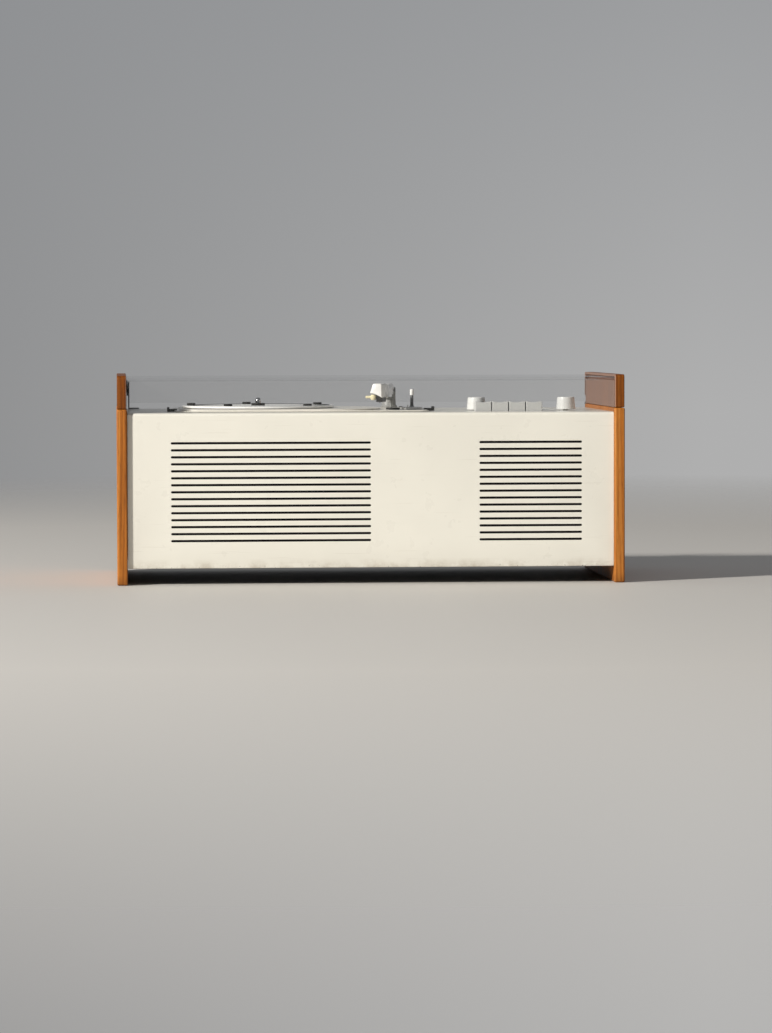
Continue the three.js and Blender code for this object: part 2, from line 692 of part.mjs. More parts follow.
function tonearmBase() {
  const low = FLANGE_TOP + GAP;
  const pedestal = turned([
    [0, low], [10, low], [10, low + 1.6], [8.6, low + 2.4], [8.2, 208], [0, 208],
  ], PIVOT_X, PIVOT_Y, 24);
  piece('tonearm_base', pedestal, GREY, 0.35, 0);
}

function yoke() {
  const cheek = roundRect(-5, 5, 208.5, 222.5, [1, 1, 4.6, 4.6], 4);
  const fork = join(
    turned([[0, 208.3], [8.2, 208.3], [8.2, 211], [0, 211]], 0, 0, 24),
    prismX(cheek, 6.5, 8),
    prismX(cheek, -8, -6.5),
  );
  const bore = rodX(1.5, -10, 10, 0, PIVOT_Z, 14);
  piece('tonearm_yoke', cut(fork, bore), GREY, 0.4, 0, arm);
}

function loft(sections) {
  // sections: [y, outline in (x, z)] with the same number of points each, joined end to end
  const count = sections[0][1].length;
  const position = sections.flatMap(([y, outline]) => outline.flatMap(([x, z]) => [x, y, z]));
  const index = [];
  for (let s = 0; s + 1 < sections.length; s++) {
    for (let i = 0; i < count; i++) {
      const a = s * count + i;
      const b = s * count + ((i + 1) % count);
      index.push(a, b, b + count, a, b + count, a + count);
    }
  }
  const last = (sections.length - 1) * count;
  for (let i = 1; i + 1 < count; i++) {
    index.push(0, i + 1, i);
    index.push(last, last + i, last + i + 1);
  }
  const g = new THREE.BufferGeometry();
  g.setAttribute('position', new THREE.Float32BufferAttribute(position, 3));
  g.setIndex(index);
  return solid(g);
}

// a rounded-top section of the arm, centred on x, from z0 up to z1
function armSection(half, z0, z1, round = half * 0.75) {
  const points = [[-half, z0], [half, z0]];
  for (let i = 0; i <= 4; i++) {
    const a = rad(90 * (i / 4));
    points.push([half - round + round * Math.cos(a), z1 - round + round * Math.sin(a)]);
  }
  for (let i = 0; i <= 4; i++) {
    const a = rad(90 + 90 * (i / 4));
    points.push([-half + round + round * Math.cos(a), z1 - round + round * Math.sin(a)]);
  }
  return points;
}

function tonearm() {
  const beam = loft([
    [25, armSection(5.2, 214.5, 225.5)],
    [12, armSection(6, 213, 227.2)],
    [-12, armSection(6, 213, 227.4)],
    [-beamLength * 0.6, armSection(5, 214, 226.5)],
    [-beamLength - 2, armSection(5.4, 212.5, 227)],
  ]);
  const headSection = [
    [-7.2, 218.4], [-1.5, 217.5], [7, 213], [7, 226.5], [6.4, 228.6], [5, 229.5],
    [-2.2, 229.5], [-3.7, 228.8], [-4.8, 226.5],
  ];
  const tailSection = headSection.map(([x, z]) => [x * 0.8, z > 222 ? z - 2.2 : z]);
  const head = loft([[6, tailSection], [-14, headSection], [-headLength, headSection]])
    .rotate([0, 0, THREE.MathUtils.radToDeg(headAngle)])
    .translate([0, -beamLength, 0]);
  const pin = rodX(1.2, -7.9, 7.9, 0, PIVOT_Z, 14);
  piece('tonearm', join(beam, head, pin), 0xf3f1ec, 0.3, 0, arm);
}

const head = new THREE.Group();
head.position.set(0, -beamLength, 0);
head.rotation.z = headAngle;
arm.add(head);

function cartridge() {
  const body = cut(
    box(-0.6, 6.6, -40, -18, 208.2, 216.6),
    loft([[-60, [[-3, 218.2], [-3, 217.9], [7.4, 212.7], [7.4, 218.2]]],
      [0, [[-3, 218.2], [-3, 217.9], [7.4, 212.7], [7.4, 218.2]]]]),
  );
  const tip = turned([[0, 206.4], [0.9, 208.4], [0, 208.4]], 3, -37, 8);
  piece('cartridge', join(body, tip), 0x23221f, 0.5, 0, head);
}

function stylusSelector() {
  const hub = turned([
    [0, 210.2], [2.6, 210.6], [3.4, 212], [3.4, 215.4], [2.6, 216.6], [0, 216.8],
  ], -4.4, -38, 20);
  const lever = rodX(1.5, -13.4, -5, -38, 213.8, 12);
  piece('stylus_selector', join(hub, lever), 0xeee3bd, 0.45, 0, head);
}

armRest();
tonearmBase();
yoke();
tonearm();
cartridge();
stylusSelector();

// ---- radio controls on the deck ----

function key(number) {
  const x0 = KEY_LEFT + (number - 1) * KEY_PITCH + KEY_GAP / 2;
  const x1 = x0 + KEY_PITCH - KEY_GAP;
  const steps = 6;
  const sag = 1.3;
  const top = Array.from({ length: steps + 1 }, (_, i) => {
    const t = i / steps;
    return V2(x1 + (x0 - x1) * t, KEY_TOP - sag * Math.sin(Math.PI * t));
  });
  const cap = prismY([V2(x0, 190.5), V2(x1, 190.5), ...top], KEY_FRONT, KEY_BACK);
  const lean = prismX([V2(KEY_FRONT - 1, 199), V2(KEY_FRONT - 1, 212), V2(KEY_FRONT + 2.2, 212)], x0 - 1, x1 + 1);
  const [a, b] = [x0 + 8, x1 - 4];
  const lever = prismX([
    V2(KEY_BACK - 8, 190.6), V2(KEY_BACK - 8, 193.5), V2(KEY_AXIS_Y, KEY_AXIS_Z + 4.4), V2(KEY_AXIS_Y, KEY_AXIS_Z - 3),
  ], a, b);
  const eye = rodX(4.5, a, b, KEY_AXIS_Y, KEY_AXIS_Z, 20);
  const bore = rodX(2.3, a - 1, b + 1, KEY_AXIS_Y, KEY_AXIS_Z, 20);
  piece(`key_${number}`, cut(join(cut(cap, lean), lever, eye), bore), GREY, 0.4, 0);
}

function keyBracket() {
  const x0 = KEY_LEFT - 4;
  const x1 = KEY_LEFT + KEY_COUNT * KEY_PITCH + 4;
  const top = DECK - SHEET - GAP;
  const y = KEY_AXIS_Y;
  const cheek = [
    V2(y - 33, top - 1.5), V2(y - 3, top - 1.5), V2(y + 5, KEY_AXIS_Z - 5), V2(y - 5, KEY_AXIS_Z - 5),
  ];
  const side = (a) => prismX(cheek, a, a + 1.5);
  const flap = (a, b) => box(a, b, y - 33, y - 3.5, top - 1.5, top);
  const frame = join(
    side(x0), flap(x0 - 8, x0 + 1.5),
    side(x1 - 1.5), flap(x1 - 1.5, x1 + 8),
    rodX(2, x0 + 0.5, x1 - 0.5, KEY_AXIS_Y, KEY_AXIS_Z, 20),
  );
  piece('key_shaft', frame, STEEL, 0.35, 0.9);
}

function knobOutline(shaftLow) {
  return [
    [0, shaftLow], [3, shaftLow], [3, DECK + 1.2], [11.2, DECK + 1.2], [11.2, DECK + 2.4],
    [10, KNOB_TOP - 0.8], [9.2, KNOB_TOP], [7.4, KNOB_TOP - 0.3], [0, KNOB_TOP - 1.6],
  ];
}

function controls() {
  piece('volume_knob', turned(knobOutline(176), VOLUME_X, KNOB_Y, 24), 0xf1efe9, 0.35, 0);
  const pot = turned([
    [3.4, 180], [4.6, 180], [4.6, 176.5], [12, 176.5], [12, 162], [0, 162], [0, 174], [3.4, 174], [3.4, 180],
  ], VOLUME_X, KNOB_Y, 16);
  piece('volume_control', pot, 0x8c8d8c, 0.45, 0.7);

  const tuning = join(
    turned(knobOutline(150), TUNING_X, KNOB_Y, 24),
    turned([[0, 166], [5, 166], [5, 176], [0, 176]], TUNING_X, KNOB_Y, 16),
  );
  piece('tuning_knob', tuning, 0xf1efe9, 0.35, 0);
}

function dial() {
  const { x0, x1, y0, y1 } = DIAL;
  const top = DECK - SHEET - GAP;
  const outer = box(x0 - 3, x1 + 3, y0 - 3, y1 + 3, 182, top);
  const seat = box(x0 - GAP, x1 + GAP, y0 - GAP, y1 + GAP, 194.3, top + 1);
  const hollow = box(x0 + 2.5, x1 - 2.5, y0 + 2.5, y1 - 2.5, 183.5, top + 1);
  const rail = rodY(1, y0 + 2, y1 - 2, x0 + 7, 188, 12);
  piece('dial_housing', join(cut(outer, seat, hollow), rail), 0x2c2c2b, 0.6, 0.1);

  const pane = prismZ(roundRect(x0 + GAP, x1 - GAP, y0 + GAP, y1 - GAP, [3, 3, 3, 3], 3), 194.6, 196.9);
  piece('dial_glass', pane, 0xdfe6e4, 0.06, 0, model, 0.3);
  piece('dial_scale', box(x0 + 14, x1 - 3.5, y0 + 3.5, y1 - 3.5, 188.5, 190), 0xd9d2bd, 0.6, 0);

  const pointer = cut(
    join(
      box(x0 + 4, x0 + 10, DIAL_MID_Y - 4, DIAL_MID_Y + 4, 185.6, 190.6),
      box(x0 + 5, x0 + 8.5, DIAL_MID_Y - 1.5, DIAL_MID_Y + 1.5, 190, 192.4),
      box(x0 + 5, x1 - 6, DIAL_MID_Y - 0.5, DIAL_MID_Y + 0.5, 191.4, 192.4),
    ),
    rodY(1.4, DIAL_MID_Y - 9, DIAL_MID_Y + 9, x0 + 7, 188, 12),
  );
  piece('dial_pointer', pointer, 0xb3261e, 0.45, 0);
}

for (let number = 1; number <= KEY_COUNT; number++) key(number);
keyBracket();
controls();
dial();

// ---- radio chassis ----

function chassis() {
  const [x0, x1, y0, y1] = [84, 268, -74, 112];
  const low = 23.6;
  const tray = cut(
    box(x0, x1, y0, y1, low, CHASSIS_TOP),
    box(x0 + 1.5, x1 - 1.5, y0 - 1, y1 + 1, low - 1, CHASSIS_TOP - 1.5),
  );
  piece('chassis', tray, 0xa9abac, 0.4, 0.9);
}

const VALVE_SPOTS = [[112, -42, 1], [148, -42, 0.92], [184, -42, 1.1]];

function valve(number) {
  const [x, y, size] = VALVE_SPOTS[number - 1];
  const z = CHASSIS_TOP + GAP;
  const profile = [
    [0, 0], [12, 0], [12, 8], [10.5, 9], [10.5, 44], [9, 50], [5, 54], [1.6, 55.5], [1.2, 60], [0, 60.5],
  ].map(([r, h]) => [r, z + h * size]);
  piece(`valve_${number}`, turned(profile, x, y, 16), 0x8f9a9c, 0.15, 0.1);
}

function transformer() {
  const [x, y] = [126, 76];
  const z = CHASSIS_TOP + GAP;
  const core = box(x - 32, x + 32, y - 18, y + 18, z, z + 56);
  const windings = box(x - 20, x + 20, y - 28, y + 28, z + 9, z + 47);
  piece('mains_transformer', join(core, windings), 0x4c4742, 0.6, 0.4);
}

function capacitor() {
  const [x, y] = [CAPACITOR_X, CAPACITOR_Y];
  const z = CHASSIS_TOP + GAP;
  const shaftHole = disc(3.4, z - 5, z + 60, x, y, 16);
  const frame = join(
    box(x - 27, x + 27, y - 27, y + 27, z, z + 2),
    box(x - 27, x + 27, y - 27, y + 27, z + 42, z + 44),
    box(x - 27, x - 24.5, y - 27, y + 27, z + 1, z + 43),
  );
  const plates = Array.from({ length: 5 }, (_, i) => box(x - 25, x - 5, y - 22, y + 22, z + 7 + i * 7, z + 8.4 + i * 7));
  piece('tuning_capacitor_frame', cut(join(frame, ...plates), shaftHole), 0xb4b6b7, 0.35, 0.9);

  const half = (r) => Array.from({ length: 13 }, (_, i) => {
    const a = rad(15 * i);
    return V2(x + r * Math.cos(a), y + r * Math.sin(a));
  });
  const shaft = disc(3, z + 0.6, 166.5, x, y, 16);
  const vanes = Array.from({ length: 4 }, (_, i) => prismZ(half(21), z + 10.2 + i * 7, z + 11.6 + i * 7));
  const drum = turned([
    [0, 165.5], [30, 165.5], [30, 167.5], [28.5, 168.4], [28.5, 170.6], [30, 171.5], [30, 173.5], [0, 173.5],
  ], x, y, 28);
  piece('tuning_capacitor_rotor', join(shaft, ...vanes, drum), 0xc3c5c6, 0.3, 0.9);
}

chassis();
for (let number = 1; number <= VALVE_SPOTS.length; number++) valve(number);
transformer();
capacitor();

export default model;
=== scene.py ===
"""Looks of the table-top radio and record player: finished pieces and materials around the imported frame."""

import json
import math

import bmesh
import bpy
from mathutils import Matrix, Vector


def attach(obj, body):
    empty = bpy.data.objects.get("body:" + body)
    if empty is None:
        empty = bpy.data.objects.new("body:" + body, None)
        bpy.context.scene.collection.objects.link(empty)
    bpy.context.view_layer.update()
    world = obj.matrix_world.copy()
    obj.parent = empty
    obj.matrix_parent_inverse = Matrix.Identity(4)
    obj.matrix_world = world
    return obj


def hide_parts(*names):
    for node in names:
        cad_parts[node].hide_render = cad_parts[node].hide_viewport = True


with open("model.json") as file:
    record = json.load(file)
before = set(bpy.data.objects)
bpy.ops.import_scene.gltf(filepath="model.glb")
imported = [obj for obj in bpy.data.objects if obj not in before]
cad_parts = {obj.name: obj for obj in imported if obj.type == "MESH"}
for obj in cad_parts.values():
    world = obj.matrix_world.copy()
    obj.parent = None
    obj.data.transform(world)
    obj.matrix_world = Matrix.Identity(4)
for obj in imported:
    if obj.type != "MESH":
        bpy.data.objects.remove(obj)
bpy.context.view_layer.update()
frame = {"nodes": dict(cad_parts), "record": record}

SLOT_OF = {part["node"]: part["material_slot"] for part in frame["record"]["subparts"]}
BODY_OF = {
    node: body
    for body, nodes in frame["record"]["behaviour"]["bodies"].items()
    for node in nodes
}
scene = bpy.context.scene
rad = math.radians

# ---- dimensions shared with the CAD, in millimetres ----

MM = 0.001
GAP = 0.3
INNER = 280.0
SHEET = 1.5
FRONT = -142.0
REAR = 140.0
DECK = 197.0
PLAYER_HOLE = (-216, 58, -94, 106)
PLATE = (-224, 70, -102, 124)
PLATFORM = (-218, 18, -98, 98)
BODY_LOW = 19.0
BEND = 3.5
PANEL_TOP = 201.5
SLOT_ROWS = 15
SLOT_PITCH = 8.0
SLOT_HIGH = 2.65
SLOT_TOP = 162.5
SLOT_GROUPS = ((-230.1, -0.8), (124.2, 242.8))
LID_LOW = PANEL_TOP + 0.4
LID_SHEET = 3.5
LID_TOP = 236.9
LID_FRONT = -143.5
LID_REAR = 141.0
LID_GROOVE = 3.5
HINGE_Z = 201.7
SPINDLE = (-125.0, 0.0)
PLATTER_R = 90.0
PLATTER_TOP = 203.5
FLANGE_TOP = 198.5
PLATFORM_TOP = 200.2
WELL_R = 88.0
RIB_COUNT = 12
RIB_OUTER = 72
RIB_PITCH = 5
PAD_COUNT = 5
PAD_RING = 82.0
PAD_FIRST = 170.0
SPEED = (54.3, -36.0)
SPEED_FIRST = 237.0
SPEED_STEP = 40.0
SPEED_RING = 14.6
PIVOT = (37.0, 105.0, 219.0)
ARM_BEND = (19.6, -53.5)
NOSE = (8.0, -97.0)
KEY_COUNT = 4
KEY_PITCH = 19.8
KEY_LEFT = 124.3
KEY_FRONT = -86.0
KEY_BACK = -62.0
KEY_TOP = 208.4
KEY_GAP = 1.1
KEY_AXIS = (-25.0, 186.0)
VOLUME = (129.0, -50.0)
TUNING = (234.5, -50.0)
KNOB_TOP = 212.8
DIAL = (139.3, 224.7, -16.0, 102.0)
SCALE_TOP = 190.0
POINTER_LOW = -4.5
POINTER_HIGH = 90.5
BANDS = (
    (166.0, ("88", "92", "96", "100", "104", "108")),
    (186.0, ("55", "60", "70", "80", "100", "120", "160")),
    (206.0, ("150", "180", "210", "250", "300", "350")),
)
REAR_BOARD = 138.0
BOTTOM_LOW = 20.8
INLET = (205.0, 60.0)
AERIAL = (95.0, 60.0)
HINGE_X = 286.0
HINGE_LEAF = 141.3
CHASSIS_TOP = 60.0
VALVES = ((112.0, -42.0, 1.0), (148.0, -42.0, 0.92), (184.0, -42.0, 1.1))

# ---- dimensions of the finish alone, in millimetres ----

PRINT = 0.06
SIDE_SCREWS = 268

# ---- camera, light and floor: metres, with the roll in degrees and the lens in millimetres ----

CAMERA_AT = (-0.291, -4.596, 0.2865)
CAMERA_AIM = (0.0149, -0.1616, 0.0784)
CAMERA_ROLL = -0.14
CAMERA_LENS = 135.6
LIGHT_AIM = (0.0, 0.0, 0.1)
KEY_LIGHT = ((-6.2, -4.0, 3.5), LIGHT_AIM, 0.6, 905.0, (1.0, 0.965, 0.905))
FILL_LIGHT = ((-0.6, -3.6, 2.6), LIGHT_AIM, 2.4, 8.0, (0.93, 0.96, 1.0))


def look(thing, place, aim, roll=0.0):
    """Puts thing at place, facing aim, turned about its own line of sight."""
    thing.location = place
    turn = (Vector(aim) - Vector(place)).to_track_quat("-Z", "Y")
    thing.rotation_euler = (turn.to_matrix() @ Matrix.Rotation(rad(roll), 3, "Z")).to_euler()


def add_camera():
    data = bpy.data.cameras.new("camera")
    data.sensor_width = 36.0
    data.lens = CAMERA_LENS
    data.clip_start = 0.1
    camera = bpy.data.objects.new("camera", data)
    scene.collection.objects.link(camera)
    look(camera, CAMERA_AT, CAMERA_AIM, CAMERA_ROLL)
    scene.camera = camera


def add_light(name, place, aim, size, power, colour):
    data = bpy.data.lights.new(name, "AREA")
    data.shape = "DISK"
    data.size = size
    data.energy = power
    data.color = colour
    light = bpy.data.objects.new(name, data)
    scene.collection.objects.link(light)
    light.visible_camera = False
    look(light, place, aim)


def add_room():
    """The world's grey, which shows as the wall, and the two lights."""
    world = bpy.data.worlds.new("room")
    scene.world = world
    world.use_nodes = True
    nodes, links = world.node_tree.nodes, world.node_tree.links
    place = nodes.new("ShaderNodeTexCoord").outputs["Generated"]
    parts = nodes.new("ShaderNodeSeparateXYZ")
    links.new(place, parts.inputs[0])
    colour = None
    # the wall is paler to the right and darker above, and the rest of the room is dimmer than the wall
    steps = (
        ("X", -0.03, 0.15, (0.288, 0.29, 0.294), (0.43, 0.43, 0.43), 1.0),
        ("Z", -0.02, 0.09, None, (0.27, 0.28, 0.295), 0.6),
        ("Y", 0.9, -0.3, None, (0.13, 0.131, 0.135), 1.0),
    )
    for name, low, high, start, end, most in steps:
        ramp = nodes.new("ShaderNodeMapRange")
        ramp.inputs["From Min"].default_value = low
        ramp.inputs["From Max"].default_value = high
        ramp.inputs["To Max"].default_value = most
        links.new(parts.outputs[name], ramp.inputs["Value"])
        mix = nodes.new("ShaderNodeMix")
        mix.data_type = "RGBA"
        links.new(ramp.outputs["Result"], mix.inputs[0])
        if start:
            mix.inputs[6].default_value = (*start, 1.0)
        else:
            links.new(colour, mix.inputs[6])
        mix.inputs[7].default_value = (*end, 1.0)
        colour = mix.outputs[2]
    links.new(colour, nodes["Background"].inputs["Color"])
    add_light("key", *KEY_LIGHT)
    add_light("fill", *FILL_LIGHT)


def add_floor():
    """A large pale disc that fades into the room's grey towards its rim."""
    radius, plain = 3.4, 1.3
    mesh = bpy.data.meshes.new("floor")
    shape = bmesh.new()
    bmesh.ops.create_circle(shape, cap_ends=True, segments=96, radius=radius)
    shape.to_mesh(mesh)
    shape.free()
    floor = bpy.data.objects.new("floor", mesh)
    scene.collection.objects.link(floor)
    pale = Shader("floor_pale", roughness=0.6)
    pale.feed("Base Color", (0.62, 0.6, 0.57, 1.0))
    out = pale.nodes["Material Output"]
    nothing = pale.add("BsdfTransparent", {}).outputs[0]
    distance = pale.add("VectorMath", {0: pale.place}, operation="LENGTH").outputs["Value"]
    fade = pale.span(distance, plain, radius - 0.02)
    mixed = pale.add("MixShader", {0: fade, 1: pale.bsdf.outputs[0], 2: nothing}).outputs[0]
    pale.links.new(mixed, out.inputs["Surface"])
    mesh.materials.append(pale.material)


# ---- materials ----


class Shader:
    """The nodes of one material; every call adds a node and returns its output."""

    def __init__(self, name, roughness=0.5, metallic=0.0, specular=0.5, coat=0.0, coat_rough=0.1):
        self.material = bpy.data.materials.new(name)
        self.material.use_nodes = True
        self.nodes = self.material.node_tree.nodes
        self.links = self.material.node_tree.links
        self.bsdf = self.nodes["Principled BSDF"]
        self.place = self.add("TexCoord", {}).outputs["Object"]
        self.feed("Roughness", roughness)
        self.feed("Metallic", metallic)
        self.feed("Specular IOR Level", specular)
        self.feed("Coat Weight", coat)
        self.feed("Coat Roughness", coat_rough)

    def put(self, socket, value):
        if isinstance(value, bpy.types.NodeSocket):
            self.links.new(value, socket)
        else:
            socket.default_value = value

    def feed(self, name, value):
        self.put(self.bsdf.inputs[name], value)

    def add(self, kind, inputs, **settings):
        node = self.nodes.new("ShaderNode" + kind)
        for key, value in settings.items():
            setattr(node, key, value)
        for key, value in inputs.items():
            self.put(node.inputs[key], value)
        return node

    def stretched(self, x, y, z):
        return self.add("Mapping", {"Vector": self.place, "Scale": (x, y, z)}).outputs["Vector"]

    def noise(self, vector, scale=1.0, detail=3.0, rough=0.5):
        inputs = {"Vector": vector, "Scale": scale, "Detail": detail, "Roughness": rough}
        return self.add("TexNoise", inputs).outputs["Fac"]

    def cells(self, vector, scale):
        return self.add("TexVoronoi", {"Vector": vector, "Scale": scale}, feature="F1").outputs["Distance"]

    def maths(self, how, a, b=0.0):
        return self.add("Math", {0: a, 1: b}, operation=how).outputs["Value"]

    def span(self, value, low, high, to_low=0.0, to_high=1.0):
        inputs = {"Value": value, "From Min": low, "From Max": high, "To Min": to_low, "To Max": to_high}
        return self.add("MapRange", inputs, clamp=True).outputs["Result"]

    def axis(self, name):
        return self.add("SeparateXYZ", {0: self.place}).outputs[name]

    def mix(self, amount, a, b):
        node = self.add("Mix", {}, data_type="RGBA")
        for index, value in ((0, amount), (6, a), (7, b)):
            self.put(node.inputs[index], value)
        return node.outputs[2]

    def bump(self, height, depth, strength=1.0):
        """depth is in millimetres."""
        inputs = {"Height": height, "Distance": depth * MM, "Strength": strength}
        self.feed("Normal", self.add("Bump", inputs).outputs["Normal"])


def rgb(colour, gain=1.0):
    """A linear colour from 8-bit display values."""
    def line(v):
        v = v / 255
        return v / 12.92 if v <= 0.04045 else ((v + 0.055) / 1.055) ** 2.4
    return (*(min(1.0, line(v) * gain) for v in colour), 1.0)


def wood(name, deep, mid, pale, shine, painted_sheen=0.0):
    """Veneer with an upright grain: broad figure, streaks, pores. painted_sheen paints a grey reflection onto
    the faces turned inwards.
    """
    s = Shader(name, specular=0.25, coat=0.04, coat_rough=0.3)
    warp = s.noise(s.stretched(5, 7, 1.5), 1.0, 2.0)
    across = s.maths("ADD", s.maths("MULTIPLY", s.axis("Y"), 62.0), s.maths("MULTIPLY", s.axis("X"), 230.0))
    turns = s.maths("ADD", across, s.maths("MULTIPLY", warp, 8.0))
    rings = s.maths("SINE", s.maths("MULTIPLY", turns, 2 * math.pi))
    figure = s.span(rings, -1.0, 1.0)
    streaks = s.noise(s.stretched(520, 400, 5), 1.0, 4.0, 0.62)
    fine = s.noise(s.stretched(1500, 1200, 14), 1.0, 2.0, 0.6)
    patches = s.noise(s.stretched(60, 22, 3), 1.0, 2.0)
    pores = s.span(s.noise(s.stretched(2300, 1500, 60), 1.0, 1.0), 0.6, 0.72)
    tone = s.maths("ADD", s.maths("MULTIPLY", figure, 0.11), s.maths("MULTIPLY", streaks, 0.42))
    tone = s.maths("ADD", tone, s.maths("MULTIPLY", patches, 0.28))
    tone = s.maths("ADD", tone, s.maths("MULTIPLY", fine, 0.3))
    base = s.mix(s.span(tone, 0.34, 0.56), deep, mid)
    base = s.mix(s.span(tone, 0.56, 0.8), base, pale)
    low = s.span(s.axis("Z"), 0.0, 0.012, 1.0, 0.0)
    worn = s.maths("MULTIPLY", low, s.noise(s.place, 160.0, 3.0))
    base = s.mix(s.maths("MULTIPLY", pores, 0.55), base, tuple(0.35 * v for v in deep[:3]) + (1.0,))
    base = s.mix(worn, base, tuple(0.5 * v for v in deep[:3]) + (1.0,))
    # painted reflection: a grey sheen, full on the inner faces, which the first distance takes in, and none
    # from the second on
    painted_sheen_mask = s.span(s.maths("ABSOLUTE", s.axis("X")), 0.2812, 0.2816, painted_sheen, 0.0)
    s.feed("Base Color", s.mix(painted_sheen_mask, base, rgb((172, 166, 162))))
    s.feed("Roughness", s.span(streaks, 0.3, 0.7, shine, shine + 0.14))
    s.bump(s.maths("SUBTRACT", s.maths("MULTIPLY", streaks, 0.35), pores), 0.06, 0.7)
    return s.material


def lacquer(name, colour, low_wear=0.0):
    """Sprayed enamel: faint mottling and orange peel, with grime and chips along the lower bend."""
    s = Shader(name, coat=0.25, coat_rough=0.08, specular=0.45)
    cloud = s.noise(s.place, 9.0, 3.0)
    base = s.mix(s.span(cloud, 0.35, 0.65), rgb(colour, 0.955), rgb(colour))
    specks = s.span(s.cells(s.place, 210.0), 0.05, 0.075, 1.0, 0.0)
    rare = s.span(s.noise(s.place, 33.0, 1.0), 0.62, 0.7)
    base = s.mix(s.maths("MULTIPLY", s.maths("MULTIPLY", specks, rare), 0.25), base, rgb((120, 104, 82)))
    scuff = s.span(s.noise(s.stretched(14, 40, 500), 1.0, 3.0), 0.66, 0.72)
    if low_wear:
        band = s.span(s.axis("Z"), 0.0195, 0.030, 1.0, 0.0)
        stain = s.maths("MULTIPLY", band, s.span(s.noise(s.place, 45.0, 4.0, 0.65), 0.42, 0.68))
        base = s.mix(s.maths("MULTIPLY", stain, low_wear), base, rgb((150, 132, 104)))
        edge = s.span(s.axis("Z"), 0.0195, 0.0225, 1.0, 0.0)
        chips = s.maths("MULTIPLY", edge, s.span(s.noise(s.place, 240.0, 3.0, 0.7), 0.63, 0.66))
        base = s.mix(s.maths("MULTIPLY", chips, 0.85), base, rgb((86, 78, 66)))
    s.feed("Base Color", s.mix(s.maths("MULTIPLY", scuff, 0.10), base, rgb((170, 160, 140))))
    s.feed("Roughness", s.span(s.noise(s.place, 60.0, 4.0), 0.3, 0.7, 0.26, 0.38))
    s.bump(s.noise(s.place, 620.0, 2.0), 0.02, 0.35)
    return s.material


def plastic(name, colour, rough, grain=0.0, stain=0.06, coat=0.0):
    """Moulded plastic: slight yellowing and dust, and a grain where the mould was matt."""
    s = Shader(name, coat=coat, specular=0.5)
    cloud = s.span(s.noise(s.place, 55.0, 3.0), 0.35, 0.7)
    dust = s.span(s.noise(s.place, 900.0, 3.0, 0.7), 0.58, 0.75)
    base = s.mix(cloud, rgb(colour, 1.0 - stain), rgb(colour, 1.0 + stain / 2))
    s.feed("Base Color", s.mix(s.maths("MULTIPLY", dust, stain), base, rgb((150, 146, 138))))
    s.feed("Roughness", s.span(s.noise(s.place, 130.0, 4.0), 0.3, 0.7, rough - 0.06, rough + 0.06))
    s.bump(s.noise(s.place, 2600.0, 2.0), 0.03, 0.15 + grain)
    return s.material


def metal(name, colour, rough, brush=(1.0, 1.0, 1.0), tarnish=0.12):
    """Bare or plated metal with fine machining lines along the axis whose brush factor is lowest."""
    s = Shader(name, metallic=1.0)
    lines = s.noise(s.stretched(*(900 * b for b in brush)), 1.0, 3.0, 0.6)
    cloud = s.noise(s.place, 38.0, 4.0, 0.6)
    dull = s.span(cloud, 0.45, 0.75, 0.0, tarnish * 2)
    base = s.mix(dull, rgb(colour), rgb(tuple(0.62 * v for v in colour)))
    s.feed("Base Color", s.mix(s.maths("MULTIPLY", lines, 0.25), base, rgb(colour, 0.7)))
    s.feed("Roughness", s.span(s.maths("ADD", lines, cloud), 0.6, 1.4, rough - 0.08, rough + 0.12))
    s.bump(lines, 0.015, 0.4)
    return s.material


def painted(name, colour, rough):
    """Plain dark or grey paint on steel, with rubbed spots."""
    s = Shader(name, specular=0.4)
    rub = s.span(s.noise(s.place, 140.0, 4.0, 0.65), 0.62, 0.72)
    base = s.mix(s.noise(s.place, 25.0, 3.0), rgb(colour, 0.85), rgb(colour, 1.15))
    s.feed("Base Color", s.mix(s.maths("MULTIPLY", rub, 0.35), base, rgb((138, 138, 136))))
    s.feed("Roughness", s.span(s.noise(s.place, 80.0, 3.0), 0.3, 0.7, rough - 0.05, rough + 0.1))
    s.bump(s.noise(s.place, 900.0, 3.0), 0.03, 0.4)
    return s.material


def rubber(name, colour):
    s = Shader(name, roughness=0.7, specular=0.3)
    bloom = s.span(s.noise(s.place, 70.0, 4.0, 0.65), 0.45, 0.75)
    s.feed("Base Color", s.mix(s.maths("MULTIPLY", bloom, 0.35), rgb(colour), rgb((74, 72, 69))))
    s.feed("Roughness", s.span(bloom, 0.0, 1.0, 0.62, 0.82))
    s.bump(s.noise(s.place, 1800.0, 3.0), 0.06, 0.5)
    return s.material


def fibre(name, colour):
    """Pressed board with flecks of fibre."""
    s = Shader(name, roughness=0.85, specular=0.2)
    flecks = s.noise(s.stretched(700, 700, 260), 1.0, 4.0, 0.7)
    base = s.mix(s.span(flecks, 0.35, 0.65), rgb(colour, 0.6), rgb(colour, 1.35))
    pale = s.span(s.noise(s.stretched(300, 900, 1300), 1.0, 2.0), 0.64, 0.7)
    s.feed("Base Color", s.mix(s.maths("MULTIPLY", pale, 0.5), base, rgb((130, 106, 80))))
    s.bump(flecks, 0.15, 0.7)
    return s.material


def plywood(name):
    s = Shader(name, roughness=0.8, specular=0.2)
    grain = s.noise(s.stretched(12, 300, 420), 1.0, 4.0, 0.6)
    plies = s.span(s.maths("SINE", s.maths("MULTIPLY", s.axis("Y"), 2 * math.pi / 0.0014)), -0.2, 0.2)
    base = s.mix(s.span(grain, 0.35, 0.65), rgb((92, 68, 44)), rgb((142, 112, 76)))
    s.feed("Base Color", s.mix(s.maths("MULTIPLY", plies, 0.3), base, rgb((74, 52, 34))))
    s.bump(grain, 0.1, 0.5)
    return s.material


